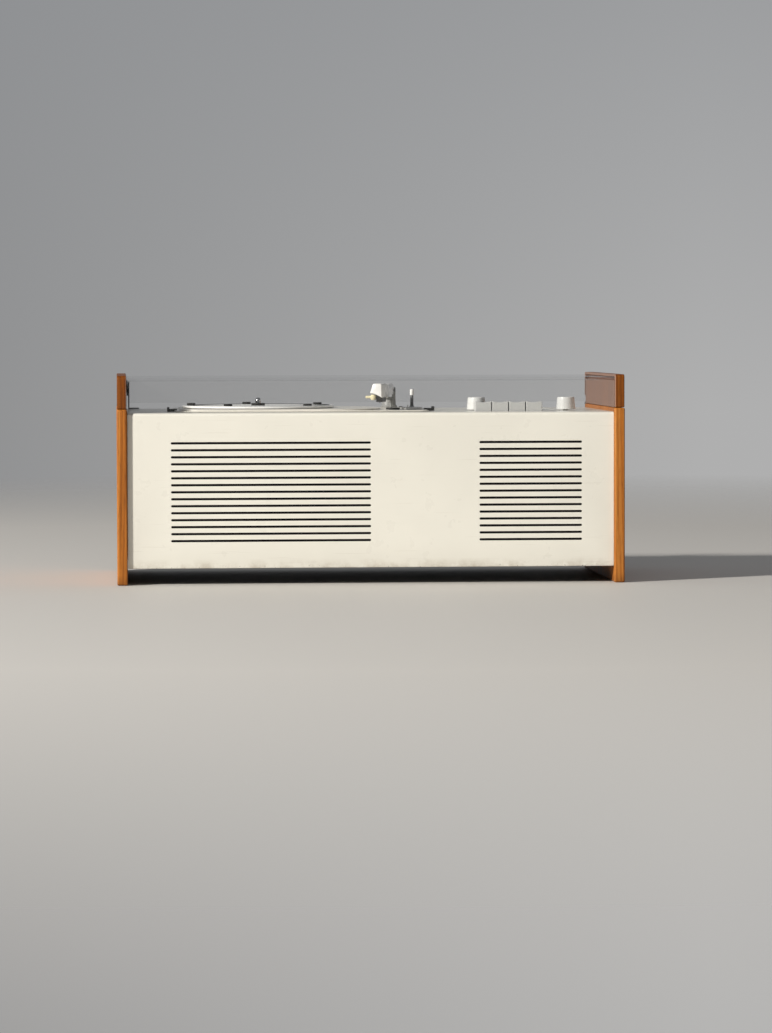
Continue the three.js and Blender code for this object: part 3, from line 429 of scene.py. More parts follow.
def woven(name):
    """Black plain-weave speaker cloth, one thread every 0.7 mm, threads along X and Z."""
    s = Shader(name, roughness=0.95, specular=0.15)
    turns = 2 * math.pi / 0.0014
    a = s.maths("SINE", s.maths("MULTIPLY", s.axis("X"), turns))
    b = s.maths("SINE", s.maths("MULTIPLY", s.axis("Z"), turns))
    weave = s.span(s.maths("MULTIPLY", a, b), -0.6, 0.6)
    threads = s.maths("ABSOLUTE", s.maths("ADD", a, b))
    base = s.mix(weave, rgb((13, 12, 14)), rgb((34, 31, 35)))
    dust = s.span(s.noise(s.place, 60.0, 3.0), 0.4, 0.7, 0.0, 0.3)
    s.feed("Base Color", s.mix(dust, base, rgb((52, 46, 44))))
    s.bump(s.maths("ADD", weave, s.maths("MULTIPLY", threads, 0.5)), 0.2, 0.8)
    return s.material


def paper(name, colour):
    s = Shader(name, roughness=0.95, specular=0.15)
    pulp = s.noise(s.place, 1300.0, 4.0, 0.7)
    s.feed("Base Color", s.mix(pulp, rgb(colour, 0.5), rgb(colour, 1.5)))
    s.bump(pulp, 0.15, 0.6)
    return s.material


def clear(name, colour, alpha, rough=0.05):
    """Clear sheet, with the faintest blur of fine scratches in its gloss."""
    s = Shader(name, roughness=rough, specular=0.6)
    scratches = s.span(s.noise(s.stretched(30, 700, 900), 1.0, 3.0), 0.64, 0.7)
    s.feed("Base Color", rgb(colour))
    edge_on = s.maths("POWER", s.add("LayerWeight", {"Blend": 0.5}).outputs["Facing"], 5.0)
    s.feed("Alpha", s.span(edge_on, 0.0, 1.0, alpha, 0.6))
    s.feed("Roughness", s.span(scratches, 0.0, 1.0, rough, rough + 0.12))
    s.bump(s.noise(s.place, 9.0, 1.0), 0.25, 0.12)
    return s.material


def iron(name, colour):
    s = Shader(name, metallic=0.6)
    sheets = s.span(s.maths("SINE", s.maths("MULTIPLY", s.axis("X"), 2 * math.pi / 0.001)), -0.6, 0.6)
    rust = s.span(s.noise(s.place, 70.0, 5.0, 0.7), 0.5, 0.75)
    base = s.mix(sheets, rgb(colour, 0.8), rgb(colour, 1.2))
    s.feed("Base Color", s.mix(s.maths("MULTIPLY", rust, 0.4), base, rgb((88, 62, 44))))
    s.feed("Roughness", s.span(rust, 0.0, 1.0, 0.5, 0.75))
    s.bump(sheets, 0.05, 0.6)
    return s.material


MATERIALS = {
    "lacquered_sheet": lacquer("cream_lacquer", (236, 233, 222), 0.5),
    "player_sheet": lacquer("white_lacquer", (238, 234, 224)),
    "side_wood": wood("side_veneer", rgb((114, 60, 18)), rgb((174, 104, 36)), rgb((204, 138, 66)), 0.42),
    # the lid veneer's last number is the strength of a grey reflection painted onto the lid ends' inner faces
    "lid_wood": wood("lid_veneer", rgb((72, 32, 6)), rgb((122, 64, 10)), rgb((154, 92, 30)), 0.4, 0.3),
    "fibre_board": fibre("pressed_board", (74, 58, 44)),
    "dark_sheet": painted("dark_paint", (58, 58, 58), 0.55),
    "black_plastic": plastic("black_moulding", (24, 24, 24), 0.42, 0.2),
    "brown_bakelite": plastic("bakelite", (84, 50, 28), 0.28, 0.0, 0.25, 0.3),
    "cloth": woven("speaker_cloth"),
    "plywood": plywood("raw_plywood"),
    "grey_steel": painted("basket_paint", (108, 110, 112), 0.4),
    "cone_paper": paper("cone_pulp", (40, 36, 32)),
    "magnet_iron": iron("magnet", (116, 118, 120)),
    "clear_cover": clear("clear_acrylic", (122, 124, 124), 0.05),
    "hinge_steel": metal("zinc_plate", (176, 176, 172), 0.32),
    "stay_black": painted("black_enamel", (24, 24, 24), 0.35),
    "board_steel": painted("grey_enamel", (138, 140, 141), 0.4),
    "platter_white": lacquer("platter_enamel", (250, 250, 248)),
    "rubber_black": rubber("black_rubber", (16, 16, 16)),
    "spindle_steel": metal("polished_steel", (196, 198, 200), 0.14, (0.2, 0.2, 2.0), 0.03),
    "pulley_brass": metal("brass", (196, 160, 84), 0.25, (0.2, 0.2, 2.0)),
    "motor_steel": metal("motor_plate", (150, 152, 152), 0.38, (0.3, 0.3, 1.5)),
    "white_plastic": plastic("white_moulding", (250, 249, 246), 0.27, 0.0, 0.015, 0.2),
    "grey_plastic": plastic("grey_moulding", (104, 106, 108), 0.35, 0.1),
    # painted shade: a white moulding given the grey that the tone arm head's shadow lends it
    "rest_grey": plastic("rest_painted_shade_grey", (150, 151, 149), 0.4, 0.1),
    "clip_black": rubber("clip_rubber", (20, 20, 20)),
    "cartridge_dark": plastic("cartridge_moulding", (38, 37, 34), 0.4, 0.1),
    "selector_cream": plastic("cream_moulding", (236, 226, 188), 0.35, 0.05, 0.08),
    "key_grey": plastic("key_moulding", (203, 204, 202), 0.33, 0.05, 0.05, 0.1),
    "knob_white": plastic("knob_moulding", (228, 229, 227), 0.28, 0.0, 0.04, 0.15),
    "housing_black": plastic("housing_moulding", (44, 44, 43), 0.6, 0.5),
    "dial_clear": clear("dial_window", (206, 212, 210), 0.12, 0.06),
    "scale_print": paper("scale_card", (236, 229, 208)),
    "pointer_red": plastic("pointer_moulding", (184, 36, 28), 0.35),
    "chassis_steel": metal("cadmium_plate", (172, 172, 160), 0.34, (0.1, 1.0, 1.0), 0.25),
    "valve_glass": clear("valve_envelope", (150, 160, 162), 0.3, 0.04),
    "core_iron": iron("core", (80, 74, 68)),
    "capacitor_metal": metal("plain_aluminium", (196, 198, 198), 0.3, (1.0, 0.2, 1.0)),
    "pot_steel": metal("pot_plate", (150, 150, 146), 0.36),
}

# ---- building ----


def fillet(points, radius, steps=4, closed=True):
    """The outline with its corners rounded; radius is one number or one per corner."""
    count = len(points)
    radii = radius if isinstance(radius, (list, tuple)) else [radius] * count
    done = []
    for i, point in enumerate(points):
        here = Vector(point)
        before, after = Vector(points[i - 1]) - here, Vector(points[(i + 1) % count]) - here
        reach = min(radii[i], before.length * 0.49, after.length * 0.49)
        if reach < 0.01 or (not closed and i in (0, count - 1)) or before.angle(after) > rad(174):
            done.append(here)
            continue
        start, end = here + before.normalized() * reach, here + after.normalized() * reach
        for k in range(steps + 1):
            t = k / steps
            done.append((1 - t) ** 2 * start + 2 * t * (1 - t) * here + t ** 2 * end)
    return done


def corners(x0, x1, y0, y1):
    return [(x0, y0), (x1, y0), (x1, y1), (x0, y1)]


def arc(cu, cv, radius, start, end, steps):
    angles = [rad(start + (end - start) * i / steps) for i in range(steps + 1)]
    return [(cu + radius * math.cos(a), cv + radius * math.sin(a)) for a in angles]


AXES = {
    "x": lambda u, v, w: (w, u, v),
    "y": lambda u, v, w: (u, w, v),
    "z": lambda u, v, w: (u, v, w),
}


def prism(shape, outline, axis, low, high):
    """Adds the outline, swept from low to high along the axis, to the bmesh; returns its vertices."""
    place = AXES[axis]
    ends = [[shape.verts.new(place(u, v, w)) for u, v in outline] for w in (low, high)]
    count = len(outline)
    for i in range(count):
        j = (i + 1) % count
        shape.faces.new((ends[0][i], ends[0][j], ends[1][j], ends[1][i]))
    shape.faces.new(ends[0][::-1])
    shape.faces.new(ends[1])
    return ends[0] + ends[1]


def lathe(shape, profile, x, y, segments=96, axis="z"):
    """Adds the profile of (radius, height), turned about the line through (x, y)."""
    rings = []
    for r, h in profile:
        # a radius of 0 closes that end on the axis
        if r < 1e-6:
            rings.append([shape.verts.new(AXES[axis](x, y, h))])
            continue
        turn = [2 * math.pi * i / segments for i in range(segments)]
        spots = [(x + r * math.cos(a), y + r * math.sin(a)) for a in turn]
        rings.append([shape.verts.new(AXES[axis](u, v, h)) for u, v in spots])
    for a, b in zip(rings, rings[1:]):
        for i in range(segments):
            j = (i + 1) % segments
            loop = [a[i % len(a)], a[j % len(a)], b[j % len(b)], b[i % len(b)]]
            loop = [v for k, v in enumerate(loop) if v not in loop[:k]]
            if len(loop) > 2:
                shape.faces.new(loop)
    return [v for ring in rings for v in ring]


def ring_lathe(shape, profile, x, y, segments=96, axis="z"):
    """As lathe, but the profile is a closed loop around a hole."""
    made = lathe(shape, list(profile) + [profile[0]], x, y, segments, axis)
    bmesh.ops.remove_doubles(shape, verts=made, dist=1e-5)


def loft(shape, sections, move):
    """Adds closed sections of (u, w) points at stations v, joined end to end and moved by a matrix."""
    rows = [[shape.verts.new(move @ Vector((u, v, w))) for u, w in outline] for v, outline in sections]
    count = len(rows[0])
    for a, b in zip(rows, rows[1:]):
        for i in range(count):
            j = (i + 1) % count
            shape.faces.new((a[i], a[j], b[j], b[i]))
    shape.faces.new(rows[0])
    shape.faces.new(rows[-1])


def mesh_of(shape, name):
    """A mesh in metres from a bmesh in millimetres, with its faces turned outwards."""
    bmesh.ops.recalc_face_normals(shape, faces=shape.faces)
    bmesh.ops.scale(shape, vec=(MM, MM, MM), verts=shape.verts)
    mesh = bpy.data.meshes.new(name)
    shape.to_mesh(mesh)
    shape.free()
    return mesh


def carved(mesh, cutters, how="DIFFERENCE"):
    """The mesh with each cutter mesh taken away, or joined on where how says UNION."""
    target = bpy.data.objects.new("carving", mesh)
    scene.collection.objects.link(target)
    tools = []
    for cutter in cutters:
        tool = bpy.data.objects.new("cutter", cutter)
        scene.collection.objects.link(tool)
        modifier = target.modifiers.new("cut", "BOOLEAN")
        modifier.operation = how
        modifier.solver = "EXACT"
        modifier.object = tool
        tools.append(tool)
    bpy.context.view_layer.update()
    graph = bpy.context.evaluated_depsgraph_get()
    result = bpy.data.meshes.new_from_object(target.evaluated_get(graph))
    for thing in [target, *tools]:
        bpy.data.objects.remove(thing)
    return result


def show(name, mesh, body, slot, nodes=(), edge=0.0, steps=2, angle=30, sharp=35):
    """Makes the mesh a piece of the object. edge is the width of its rounded edges in millimetres."""
    mesh.materials.clear()
    mesh.materials.append(MATERIALS[slot])
    mesh.polygons.foreach_set("use_smooth", [True] * len(mesh.polygons))
    mesh.polygons.foreach_set("material_index", [0] * len(mesh.polygons))
    piece = bpy.data.objects.new(name, mesh)
    scene.collection.objects.link(piece)
    if edge:
        modifier = piece.modifiers.new("edges", "BEVEL")
        modifier.width = edge * MM
        modifier.segments = steps
        modifier.limit_method = "ANGLE"
        modifier.angle_limit = rad(angle)
        modifier.harden_normals = True
    else:
        mesh.set_sharp_from_angle(angle=rad(sharp))
    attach(piece, body)
    if nodes:
        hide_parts(*nodes)


def stands_for(node, shape_or_mesh, **options):
    """A finished piece in place of one CAD node, on its body and with its slot."""
    mesh = shape_or_mesh
    if isinstance(shape_or_mesh, bmesh.types.BMesh):
        mesh = mesh_of(shape_or_mesh, node + "_fine")
    show(node + "_fine", mesh, BODY_OF[node], SLOT_OF[node], (node,), **options)


def clean_copy(node):
    """The CAD node's shape in millimetres, with its flat faces in one piece each."""
    source = bmesh.new()
    source.from_mesh(frame["nodes"][node].data)
    bmesh.ops.remove_doubles(source, verts=source.verts, dist=1e-6)
    bmesh.ops.dissolve_limit(source, angle_limit=rad(0.5), verts=source.verts, edges=source.edges)
    plain = bpy.data.meshes.new(node)
    source.verts.index_update()
    faces = [[v.index for v in f.verts] for f in source.faces]
    plain.from_pydata([v.co / MM for v in source.verts], [], faces)
    source.free()
    shape = bmesh.new()
    shape.from_mesh(plain)
    bpy.data.meshes.remove(plain)
    return shape


def refine(node, edge, steps=2, angle=30):
    """The CAD node's own shape with rounded edges, in its place."""
    stands_for(node, clean_copy(node), edge=edge, steps=steps, angle=angle)


def box_on(shape, x0, x1, y0, y1, z0, z1):
    prism(shape, corners(x0, x1, y0, y1), "z", z0, z1)


def lettering(shape, spots, size, base):
    """Adds short numbers, each centred on its spot (text, x, y), standing PRINT above the height base."""
    for text, x, y in spots:
        curve = bpy.data.curves.new("digits", "FONT")
        curve.body = text
        curve.size = size
        curve.extrude = PRINT / 2
        curve.resolution_u = 4
        curve.align_x = "CENTER"
        curve.align_y = "CENTER"
        sample = bpy.data.objects.new("digits", curve)
        scene.collection.objects.link(sample)
        bpy.context.view_layer.update()
        graph = bpy.context.evaluated_depsgraph_get()
        mesh = bpy.data.meshes.new_from_object(sample.evaluated_get(graph))
        mesh.transform(Matrix.Translation((x, y, base + PRINT / 2)))
        shape.from_mesh(mesh)
        bpy.data.objects.remove(sample)
        bpy.data.meshes.remove(mesh)


# ---- casing ----


def body_shell():
    lip, flange = 14, DECK - 18
    outline = [
        *arc(FRONT + BEND, DECK - BEND, BEND, 180, 90, 10),
        *arc(REAR - BEND, DECK - BEND, BEND, 90, 0, 10),
        (REAR, flange), (REAR - SHEET, flange),
        *arc(REAR - BEND, DECK - BEND, BEND - SHEET, 0, 90, 10),
        *arc(FRONT + BEND, DECK - BEND, BEND - SHEET, 90, 180, 10),
        (FRONT + SHEET, BODY_LOW + SHEET), (FRONT + lip, BODY_LOW + SHEET),
        (FRONT + lip, BODY_LOW), (FRONT + 1.2, BODY_LOW), (FRONT + 0.35, BODY_LOW + 0.35),
        (FRONT, BODY_LOW + 1.2),
    ]
    shape = bmesh.new()
    prism(shape, outline, "x", -INNER + GAP, INNER - GAP)
    slots = bmesh.new()
    r = SLOT_HIGH / 2
    for x0, x1 in SLOT_GROUPS:
        for row in range(SLOT_ROWS):
            z = SLOT_TOP - row * SLOT_PITCH
            rim = arc(x1 - r, z, r, -90, 90, 10) + arc(x0 + r, z, r, 90, 270, 10)
            prism(slots, rim, "y", FRONT - 2, FRONT + 4)
    holes = bmesh.new()
    low, high = DECK - 5, DECK + 5
    prism(holes, fillet(corners(*PLAYER_HOLE), 12, 8), "z", low, high)
    key_right = KEY_LEFT + KEY_COUNT * KEY_PITCH + 0.8
    prism(holes, corners(KEY_LEFT - 0.8, key_right, KEY_FRONT - 1.5, KEY_BACK + 2), "z", low, high)
    x0, x1, y0, y1 = DIAL
    prism(holes, fillet(corners(x0, x1, y0, y1), 3, 6), "z", low, high)
    for x, y in (VOLUME, TUNING):
        lathe(holes, [(0, low), (5, low), (5, high), (0, high)], x, y, 48)
    mesh = carved(mesh_of(shape, "body_shell_fine"), [mesh_of(slots, "slots"), mesh_of(holes, "holes")])
    stands_for("body_shell", mesh, edge=0.22, steps=2, angle=40)


def screws(name, body, spots, axis, sign, radius):
    """Domed, slotted screw heads on spots (u, v, face), standing out along sign times the axis."""
    heads, slits = bmesh.new(), bmesh.new()
    rise = 0.45 * radius * sign
    half, wide = 1.3 * radius, 0.13 * radius
    for number, (u, v, face) in enumerate(spots):
        profile = [
            (0, face - 0.3 * sign), (radius, face - 0.3 * sign), (radius, face + 0.3 * rise),
            (0.82 * radius, face + 0.78 * rise), (0.4 * radius, face + rise), (0, face + rise),
        ]
        lathe(heads, profile, u, v, 32, axis)
        turn = rad(20 + 53 * number)
        across = Vector((math.cos(turn), math.sin(turn)))
        along = Vector((-across.y, across.x))
        rim = [Vector((u, v)) + a * half * across + b * wide * along for a, b in corners(-1, 1, -1, 1)]
        prism(slits, rim, axis, *sorted((face + 0.4 * rise, face + 3 * rise)))
    mesh = carved(mesh_of(heads, name), [mesh_of(slits, "slits")])
    show(name, mesh, body, "hinge_steel", sharp=30)


def socket_metal():
    """Brass eyelets in the aerial socket and sleeves on the inlet's pins."""
    shape = bmesh.new()
    x, z = AERIAL
    for offset in (-21, -7, 7, 21):
        eyelet = [
            (1.6, 131), (2.0, 131), (2.0, 139.7), (3.3, 139.7), (3.3, 140.1), (3.0, 140.3), (1.6, 140.3),
        ]
        ring_lathe(shape, eyelet, x + offset, z, 32, "y")
    x, z = INLET
    for offset in (-9.5, 9.5):
        sleeve = fillet([(0, 124.2), (2.2, 124.2), (2.2, 137.3), (0, 137.3)], 0.9, 3, False)
        lathe(shape, sleeve, x + offset, z, 24, "y")
    show("socket_brass", mesh_of(shape, "socket_brass"), "casing", "pulley_brass", sharp=40)


def casing_screws():
    spots = [(x, z, REAR_BOARD) for x in (-SIDE_SCREWS, SIDE_SCREWS) for z in (32, 101, 168)]
    spots += [(x, z, REAR_BOARD) for x in (-60, 30) for z in (32, 168)]
    screws("rear_screws", "casing", spots, "y", 1, 2.6)
    spots = [(x, y, BOTTOM_LOW) for x in (-SIDE_SCREWS, 0, SIDE_SCREWS) for y in (-118, 126)]
    screws("bottom_screws", "casing", spots, "z", -1, 2.6)
    x, z = INLET
    screws("inlet_screws", "casing", [(x + dx, 36, 140.3) for dx in (-14, 14)], "y", 1, 1.9)
    x, z = AERIAL
    screws("aerial_screws", "casing", [(x + dx, 36, 139.8) for dx in (-24, 24)], "y", 1, 1.9)


def casing():
    for name in ("left_side_panel", "right_side_panel"):
        refine(name, 0.5, 2, 20)
    body_shell()
    for node, edge in (
        ("rear_panel", 0.35), ("bottom_plate", 0.3), ("mains_inlet", 0.5), ("aerial_socket", 0.5),
        ("grille_cloth", 0.15), ("speaker_baffle", 0.4), ("speaker_frame", 0.4), ("speaker_cone", 0.15),
        ("speaker_magnet", 0.8),
    ):
        refine(node, edge)
    socket_metal()
    casing_screws()


# ---- lid ----


def lid_sheet():
    r = 6.0
    inner = r - LID_SHEET
    front, back, top = LID_FRONT, LID_REAR, LID_TOP
    outline = [
        (front, DECK + 1.2),
        *arc(front + r, top - r, r, 180, 90, 12),
        *arc(back - r, top - r, r, 90, 0, 12),
        (back, HINGE_Z + 2.4), (back - LID_SHEET, HINGE_Z + 2.4),
        *arc(back - r, top - r, inner, 0, 90, 12),
        *arc(front + r, top - r, inner, 90, 180, 12),
        (front + LID_SHEET, DECK + 1.2),
    ]
    half = INNER + 0.5 + LID_GROOVE
    shape = bmesh.new()
    prism(shape, outline, "x", -half, half)
    corner = bmesh.new()
    for side in (-1, 1):
        x0, x1 = sorted((side * (INNER - 0.5), side * 300))
        box_on(corner, x0, x1, -150, 0, 150, LID_LOW + 0.4)
        box_on(corner, x0, x1, 1, 150, 150, LID_LOW + 10.6)
    mesh = carved(mesh_of(shape, "lid_cover_fine"), [mesh_of(corner, "corner")])
    stands_for("lid_cover", mesh, edge=0.35, steps=2, angle=40)


def lid():
    lid_sheet()
    refine("lid_left_end", 0.4, 2, 20)
    refine("lid_right_end", 0.4, 2, 20)
    for side in ("left", "right"):
        refine(side + "_hinge_lower", 0.2)
        refine(side + "_hinge_upper", 0.2)
    refine("lid_stay_arm", 0.25)
    refine("lid_stay_bracket", 0.3)
    leaf = [(side * HINGE_X + dx, HINGE_LEAF) for side in (-1, 1) for dx in (-2.5, 2.5)]
    screws("lower_hinge_screws", "casing", [(x, 195.2, y) for x, y in leaf], "y", 1, 1.1)
    screws("upper_hinge_screws", "lid", [(x, 208.6, y) for x, y in leaf], "y", 1, 1.1)


# ---- record player ----


def player_plate():
    """The pressed sheet: a flange with a raised platform around the platter."""
    shape = bmesh.new()
    prism(shape, fillet(corners(*PLATE), 12, 10), "z", DECK + GAP, FLANGE_TOP)
    rise = bmesh.new()
    outline = fillet(corners(*PLATFORM), [30, 78, 78, 30], 24)
    prism(rise, outline, "z", DECK + GAP + 0.2, PLATFORM_TOP)
    hole = bmesh.new()
    low, high = DECK - 2, PLATFORM_TOP + 2
    lathe(hole, [(0, low), (WELL_R, low), (WELL_R, high), (0, high)], *SPINDLE, 160)
    lathe(hole, [(0, low), (3.2, low), (3.2, high), (0, high)], *SPEED, 32)
    both = carved(mesh_of(shape, "player_plate_fine"), [mesh_of(rise, "rise")], "UNION")
    stands_for("player_plate", carved(both, [mesh_of(hole, "hole")]), edge=0.5, steps=3, angle=40)


def platter():
    top, r = PLATTER_TOP, PLATTER_R
    outer = [
        (3.6, 188.6), (12, 188.6), (12, 199.6), (83, 200.9), (83, 190), (85.5, 190), (85.5, 200.9),
        (r, 200.9), (r, top - 0.8), (r - 0.8, top), (r - 4, top), (r - 5, top - 0.6),
    ]
    ribs = []
    for i in range(RIB_COUNT):
        at = RIB_OUTER - i * RIB_PITCH
        foot, crest = top - 0.6, top - 0.35
        ribs += [(at + 1.2, foot), (at + 0.6, crest), (at - 0.6, crest), (at - 1.2, foot)]
    inner = [(14, top - 0.6), (12, top - 1.2), (3.6, top - 1.2)]
    shape = bmesh.new()
    ring_lathe(shape, fillet(outer + ribs + inner, 0.4, 3), *SPINDLE, 192)
    stands_for("platter", shape, sharp=50)

    low = top - 0.6 + GAP
    pads = bmesh.new()
    band = corners(PAD_RING - 2.5, PAD_RING + 2.5, low, low + 0.5)
    ring_lathe(pads, fillet(band, 0.15, 2), *SPINDLE, 160)
    for i in range(PAD_COUNT):
        a = rad(PAD_FIRST + 360 * i / PAD_COUNT)
        x = SPINDLE[0] + (PAD_RING - 2) * math.cos(a)
        y = SPINDLE[1] + (PAD_RING - 2) * math.sin(a)
        lathe(pads, fillet([(0, low), (5, low), (5, 205.9), (0, 205.9)], 0.35, 3, False), x, y, 40)
    stands_for("platter_pads", pads, sharp=50)

    puck = bmesh.new()
    profile = [(3.6, top - 0.9), (8, top - 0.9), (8, 205.8), (3.6, 205.8)]
    ring_lathe(puck, fillet(profile, 0.4, 4), *SPINDLE, 64)
    stands_for("centre_puck", puck, sharp=50)

    shaft = bmesh.new()
    profile = [(0, 160), (3.3, 160), (3.3, 209.5), (2.4, 211.6), (1.2, 212.3), (0, 212.5)]
    lathe(shaft, fillet(profile, 0.9, 4, False), *SPINDLE, 48)
    stands_for("spindle", shaft, sharp=50)


def drive():
    refine("motor_board", 0.35)
    refine("idler_wheel", 0.2)
    refine("motor_pulley", 0.15)
    refine("motor", 0.5)


def speed_marks():
    """The four speeds beside the dial, where its peg points in each position."""
    x, y = SPEED
    spots = []
    for number, text in enumerate(("16", "33", "45", "78")):
        turn = rad(SPEED_FIRST + SPEED_STEP * number)
        spots.append((text, x + SPEED_RING * math.cos(turn), y + SPEED_RING * math.sin(turn)))
    shape = bmesh.new()
    lettering(shape, spots, 3.0, FLANGE_TOP)
    show("speed_marks", mesh_of(shape, "speed_marks"), "casing", "housing_black")


def speed_selector():
    x, y = SPEED
    low = FLANGE_TOP + GAP
    shape = bmesh.new()
    profile = [(0, 190), (2.6, 190), (2.6, low), (12.2, low), (12.2, 200.7), (11.7, 201.2), (0, 201.2)]
    lathe(shape, fillet(profile, 0.3, 3, False), x, y, 96)
    peg = [(0, 200.9), (0.8, 200.9), (0.8, 203.6), (0, 203.6)]
    lathe(shape, fillet(peg, 0.4, 3, False), x - 5.5, y - 8.5, 20)
    stands_for("speed_dial", shape, sharp=45)

    stem = bmesh.new()
    profile = [(0, 201.5), (3.2, 201.5), (2, 203), (1.7, 214.8), (0, 214.8)]
    lathe(stem, fillet(profile, 0.5, 3, False), x, y, 40)
    stands_for("speed_stem", stem, sharp=45)
    tip = bmesh.new()
    profile = [(0, 214.9), (2.3, 215.0), (2.3, 221.3), (1.6, 222.2), (0, 222.2)]
    lathe(tip, fillet(profile, 0.6, 3, False), x, y, 40)
    show("speed_stem_tip", mesh_of(tip, "speed_stem_tip"), "speed_switch", "white_plastic", sharp=50)


def player():
    player_plate()
    platter()
    drive()
    speed_selector()
    speed_marks()
    screws("plate_screws", "casing", [(-206, 112, FLANGE_TOP), (52, 112, FLANGE_TOP)], "z", 1, 2.4)
    refine("left_player_clip", 0.4, 3)
    refine("right_player_clip", 0.4, 3)


# ---- tone arm ----

BEAM_TAIL = 25
BEAM_ANGLE = math.atan2(ARM_BEND[0] - PIVOT[0], PIVOT[1] - ARM_BEND[1])
BEAM_LENGTH = math.hypot(ARM_BEND[0] - PIVOT[0], PIVOT[1] - ARM_BEND[1])
HEAD_ANGLE = math.atan2(NOSE[0] - ARM_BEND[0], ARM_BEND[1] - NOSE[1]) - BEAM_ANGLE
HEAD_LENGTH = math.hypot(NOSE[0] - ARM_BEND[0], ARM_BEND[1] - NOSE[1])
ARM = Matrix.Translation((PIVOT[0], PIVOT[1], 0)) @ Matrix.Rotation(BEAM_ANGLE, 4, "Z")
HEAD = ARM @ Matrix.Translation((0, -BEAM_LENGTH, 0)) @ Matrix.Rotation(HEAD_ANGLE, 4, "Z")


def between(stations, at):
    """Smoothly interpolated row of numbers of the stations (position, numbers) at one position."""
    for (p0, a), (p1, b) in zip(stations, stations[1:]):
        if p1 <= at <= p0:
            t = (p0 - at) / (p0 - p1)
            t = t * t * (3 - 2 * t)
            return [u + (v - u) * t for u, v in zip(a, b)]
    raise ValueError(at)


def halfway(first, second):
    """The outline midway between two outlines with the same number of corners."""
    return [((a + c) / 2, (b + d) / 2) for (a, b), (c, d) in zip(first, second)]


def tonearm():
    """The beam, the head and the pivot pin: three closed shells that run into each other."""
    stations = [
        (BEAM_TAIL, (5.2, 214.5, 225.5)), (12, (6, 213, 227.2)), (-12, (6, 213, 227.4)),
        (-BEAM_LENGTH * 0.6, (5, 214, 226.5)), (-BEAM_LENGTH - 2, (5.4, 212.5, 227)),
    ]
    shape = bmesh.new()
    sections, steps = [], 40
    last = stations[-1][0]
    for i in range(steps + 1):
        at = BEAM_TAIL + (last - BEAM_TAIL) * i / steps
        half, low, high = between(stations, at)
        if i == 0:
            half, low, high = half - 0.8, low + 0.8, high - 0.8
        round_top = half * 0.75
        outline = fillet(corners(-half, half, low, high), [0.8, 0.8, round_top * 1.3, round_top * 1.3], 6)
        sections.append((at, outline))
    edge = BEAM_TAIL - 0.8
    half, low, high = between(stations, edge)
    sections.insert(1, (edge, fillet(corners(-half, half, low, high), [0.8, 0.8, half, half], 6)))
    loft(shape, sections, ARM)
    head = [(-7.3, 218.3), (-1.5, 217.5), (7, 213), (7, 229.5), (-3.6, 229.5)]
    radii = [0.9, 2.0, 1.0, 3.0, 2.0]
    tail = [(u * 0.8, w - 2.2 if w > 222 else w) for u, w in head]
    centre = (0.5, 222.5)
    shrunk = [(centre[0] + (u - centre[0]) * 0.9, centre[1] + (w - centre[1]) * 0.9) for u, w in head]
    rows = [
        (6, tail), (-4, halfway(head, tail)), (-14, head), (-HEAD_LENGTH + 1.2, head),
        (-HEAD_LENGTH + 0.3, halfway(head, shrunk)), (-HEAD_LENGTH, shrunk),
    ]
    loft(shape, [(at, fillet(outline, radii, 6)) for at, outline in rows], HEAD)
    made = lathe(shape, [(0, -7.9), (1.2, -7.9), (1.2, 7.9), (0, 7.9)], 0, PIVOT[2], 24, "x")
    bmesh.ops.transform(shape, matrix=ARM, verts=made)
    stands_for("tonearm", shape, sharp=40)


def tone_arm():
    refine("arm_rest_base", 0.3)
    refine("arm_rest_fork", 0.3, 3)
    base = bmesh.new()
    low = FLANGE_TOP + GAP
    profile = [(0, low), (10, low), (10, low + 1.6), (8.6, low + 2.4), (8.2, 208), (0, 208)]
    lathe(base, fillet(profile, 0.5, 3, False), PIVOT[0], PIVOT[1], 96)
    stands_for("tonearm_base", base, sharp=45)
    refine("tonearm_yoke", 0.3)
    tonearm()
    refine("cartridge", 0.4, 3)
    refine("stylus_selector", 0.35, 3)


# ---- controls ----


def key(number):
    node = f"key_{number}"
    x0 = KEY_LEFT + (number - 1) * KEY_PITCH + KEY_GAP / 2
    x1 = x0 + KEY_PITCH - KEY_GAP
    sag, steps = 1.3, 20
    top = []
    for i in range(steps + 1):
        t = i / steps
        top.append((x1 + (x0 - x1) * t, KEY_TOP - sag * math.sin(math.pi * t)))
    shape = bmesh.new()
    made = prism(shape, [(x0, 190.5), (x1, 190.5), *top], "y", KEY_FRONT, KEY_BACK)
    # the front leans back towards its top
    for vert in made:
        if vert.co.y < KEY_FRONT + 1:
            vert.co.y = max(KEY_FRONT, KEY_FRONT - 1 + (vert.co.z - 199) * 3.2 / 13)
    stands_for(node, shape, edge=0.9, steps=4, angle=35)
    lever = bmesh.new()
    a, b = x0 + 8, x1 - 4
    y, z = KEY_AXIS
    beam = [
        (KEY_BACK - 4, 190.6), (KEY_BACK - 4, 193.2), (y, z + 4.4), (y + 4.4, z), (y, z - 4.4),
        (y - 3, z - 3),
    ]
    prism(lever, fillet(beam, 1.5, 4), "x", a, b)
    hole = bmesh.new()
    lathe(hole, [(0, a - 1), (2.3, a - 1), (2.3, b + 1), (0, b + 1)], y, z, 32, "x")
    mesh = carved(mesh_of(lever, node + "_lever"), [mesh_of(hole, "hole")])
    show(node + "_lever", mesh, BODY_OF[node], "key_grey", edge=0.25)


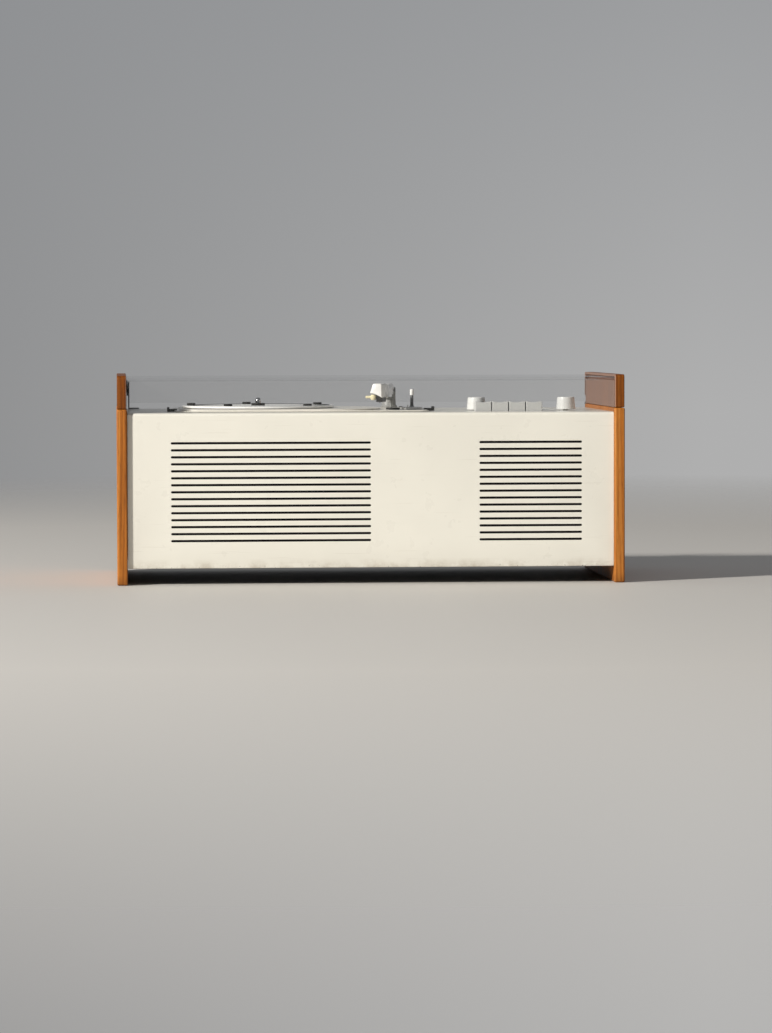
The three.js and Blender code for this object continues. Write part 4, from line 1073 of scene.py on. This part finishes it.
def knob_line(name, body, x, y, turn):
    """An inlaid dark line on a knob's rim, pointing at turn degrees."""
    top = KNOB_TOP
    outline = [
        (4, top - 1.5), (9.7, top - 1.5), (9.75, top - 0.6), (9.25, top + 0.04), (7.4, top - 0.24),
        (4, top - 0.86),
    ]
    shape = bmesh.new()
    made = prism(shape, outline, "y", -0.45, 0.45)
    place = Matrix.Translation((x, y, 0)) @ Matrix.Rotation(rad(turn), 4, "Z")
    bmesh.ops.transform(shape, matrix=place, verts=made)
    show(name, mesh_of(shape, name), body, "housing_black")


def knob(node, x, y, shaft_low, collar):
    profile = [
        (0, shaft_low), (3, shaft_low), (3, DECK + 1.2), (11.2, DECK + 1.2), (11.2, DECK + 2.4),
        (10, KNOB_TOP - 0.8), (9.2, KNOB_TOP), (7.4, KNOB_TOP - 0.3), (0, KNOB_TOP - 1.6),
    ]
    shape = bmesh.new()
    lathe(shape, fillet(profile, 0.6, 4, False), x, y, 96)
    if collar:
        lathe(shape, fillet([(0, 166), (5, 166), (5, 176), (0, 176)], 0.3, 2, False), x, y, 32)
    stands_for(node, shape, sharp=50)


def controls():
    for number in range(1, KEY_COUNT + 1):
        key(number)
    refine("key_shaft", 0.2)
    knob("volume_knob", *VOLUME, 176, False)
    knob("tuning_knob", *TUNING, 150, True)
    knob_line("volume_line", "volume", *VOLUME, 225)
    knob_line("tuning_line", "tuning", *TUNING, 90)
    refine("volume_control", 0.3)
    refine("dial_housing", 0.3)
    refine("dial_glass", 0.3)
    refine("dial_scale", 0.15)
    refine("dial_pointer", 0.12)
    dial_print()


def dial_print():
    """Three bands of ticks and plain numbers on the scale."""
    shape = bmesh.new()
    texts = []
    low, high = SCALE_TOP - 0.02, SCALE_TOP + PRINT
    for x, names in BANDS:
        box_on(shape, x - 0.4, x, POINTER_LOW, POINTER_HIGH, low, high)
        last = (len(names) - 1) * 4
        for i in range(last + 1):
            y = POINTER_LOW + (POINTER_HIGH - POINTER_LOW) * i / last
            long = 1.6 if i % 4 else 3.2
            box_on(shape, x + 0.1, x + long, y - 0.15, y + 0.15, low, high)
            if i % 4 == 0:
                texts.append((names[i // 4], x + 7.6, y))
    lettering(shape, texts, 4.2, SCALE_TOP)
    show("dial_print", mesh_of(shape, "dial_print"), "casing", "housing_black")


def radio():
    refine("chassis", 0.4)
    for number, (x, y, size) in enumerate(VALVES, 1):
        profile = [
            (0, 0), (12, 0), (12, 8), (10.5, 9), (10.5, 44), (9, 50), (5, 54), (1.6, 55.5), (1.2, 60),
            (0, 60.5),
        ]
        shape = bmesh.new()
        base = CHASSIS_TOP + GAP
        lathe(shape, fillet([(r, base + h * size) for r, h in profile], 1.0, 4, False), x, y, 48)
        stands_for(f"valve_{number}", shape, sharp=50)
    refine("mains_transformer", 0.6)
    refine("tuning_capacitor_frame", 0.2)
    refine("tuning_capacitor_rotor", 0.2)


add_camera()
add_room()
add_floor()
casing()
lid()
player()
tone_arm()
controls()
radio()
scene.view_settings.view_transform = "Standard"
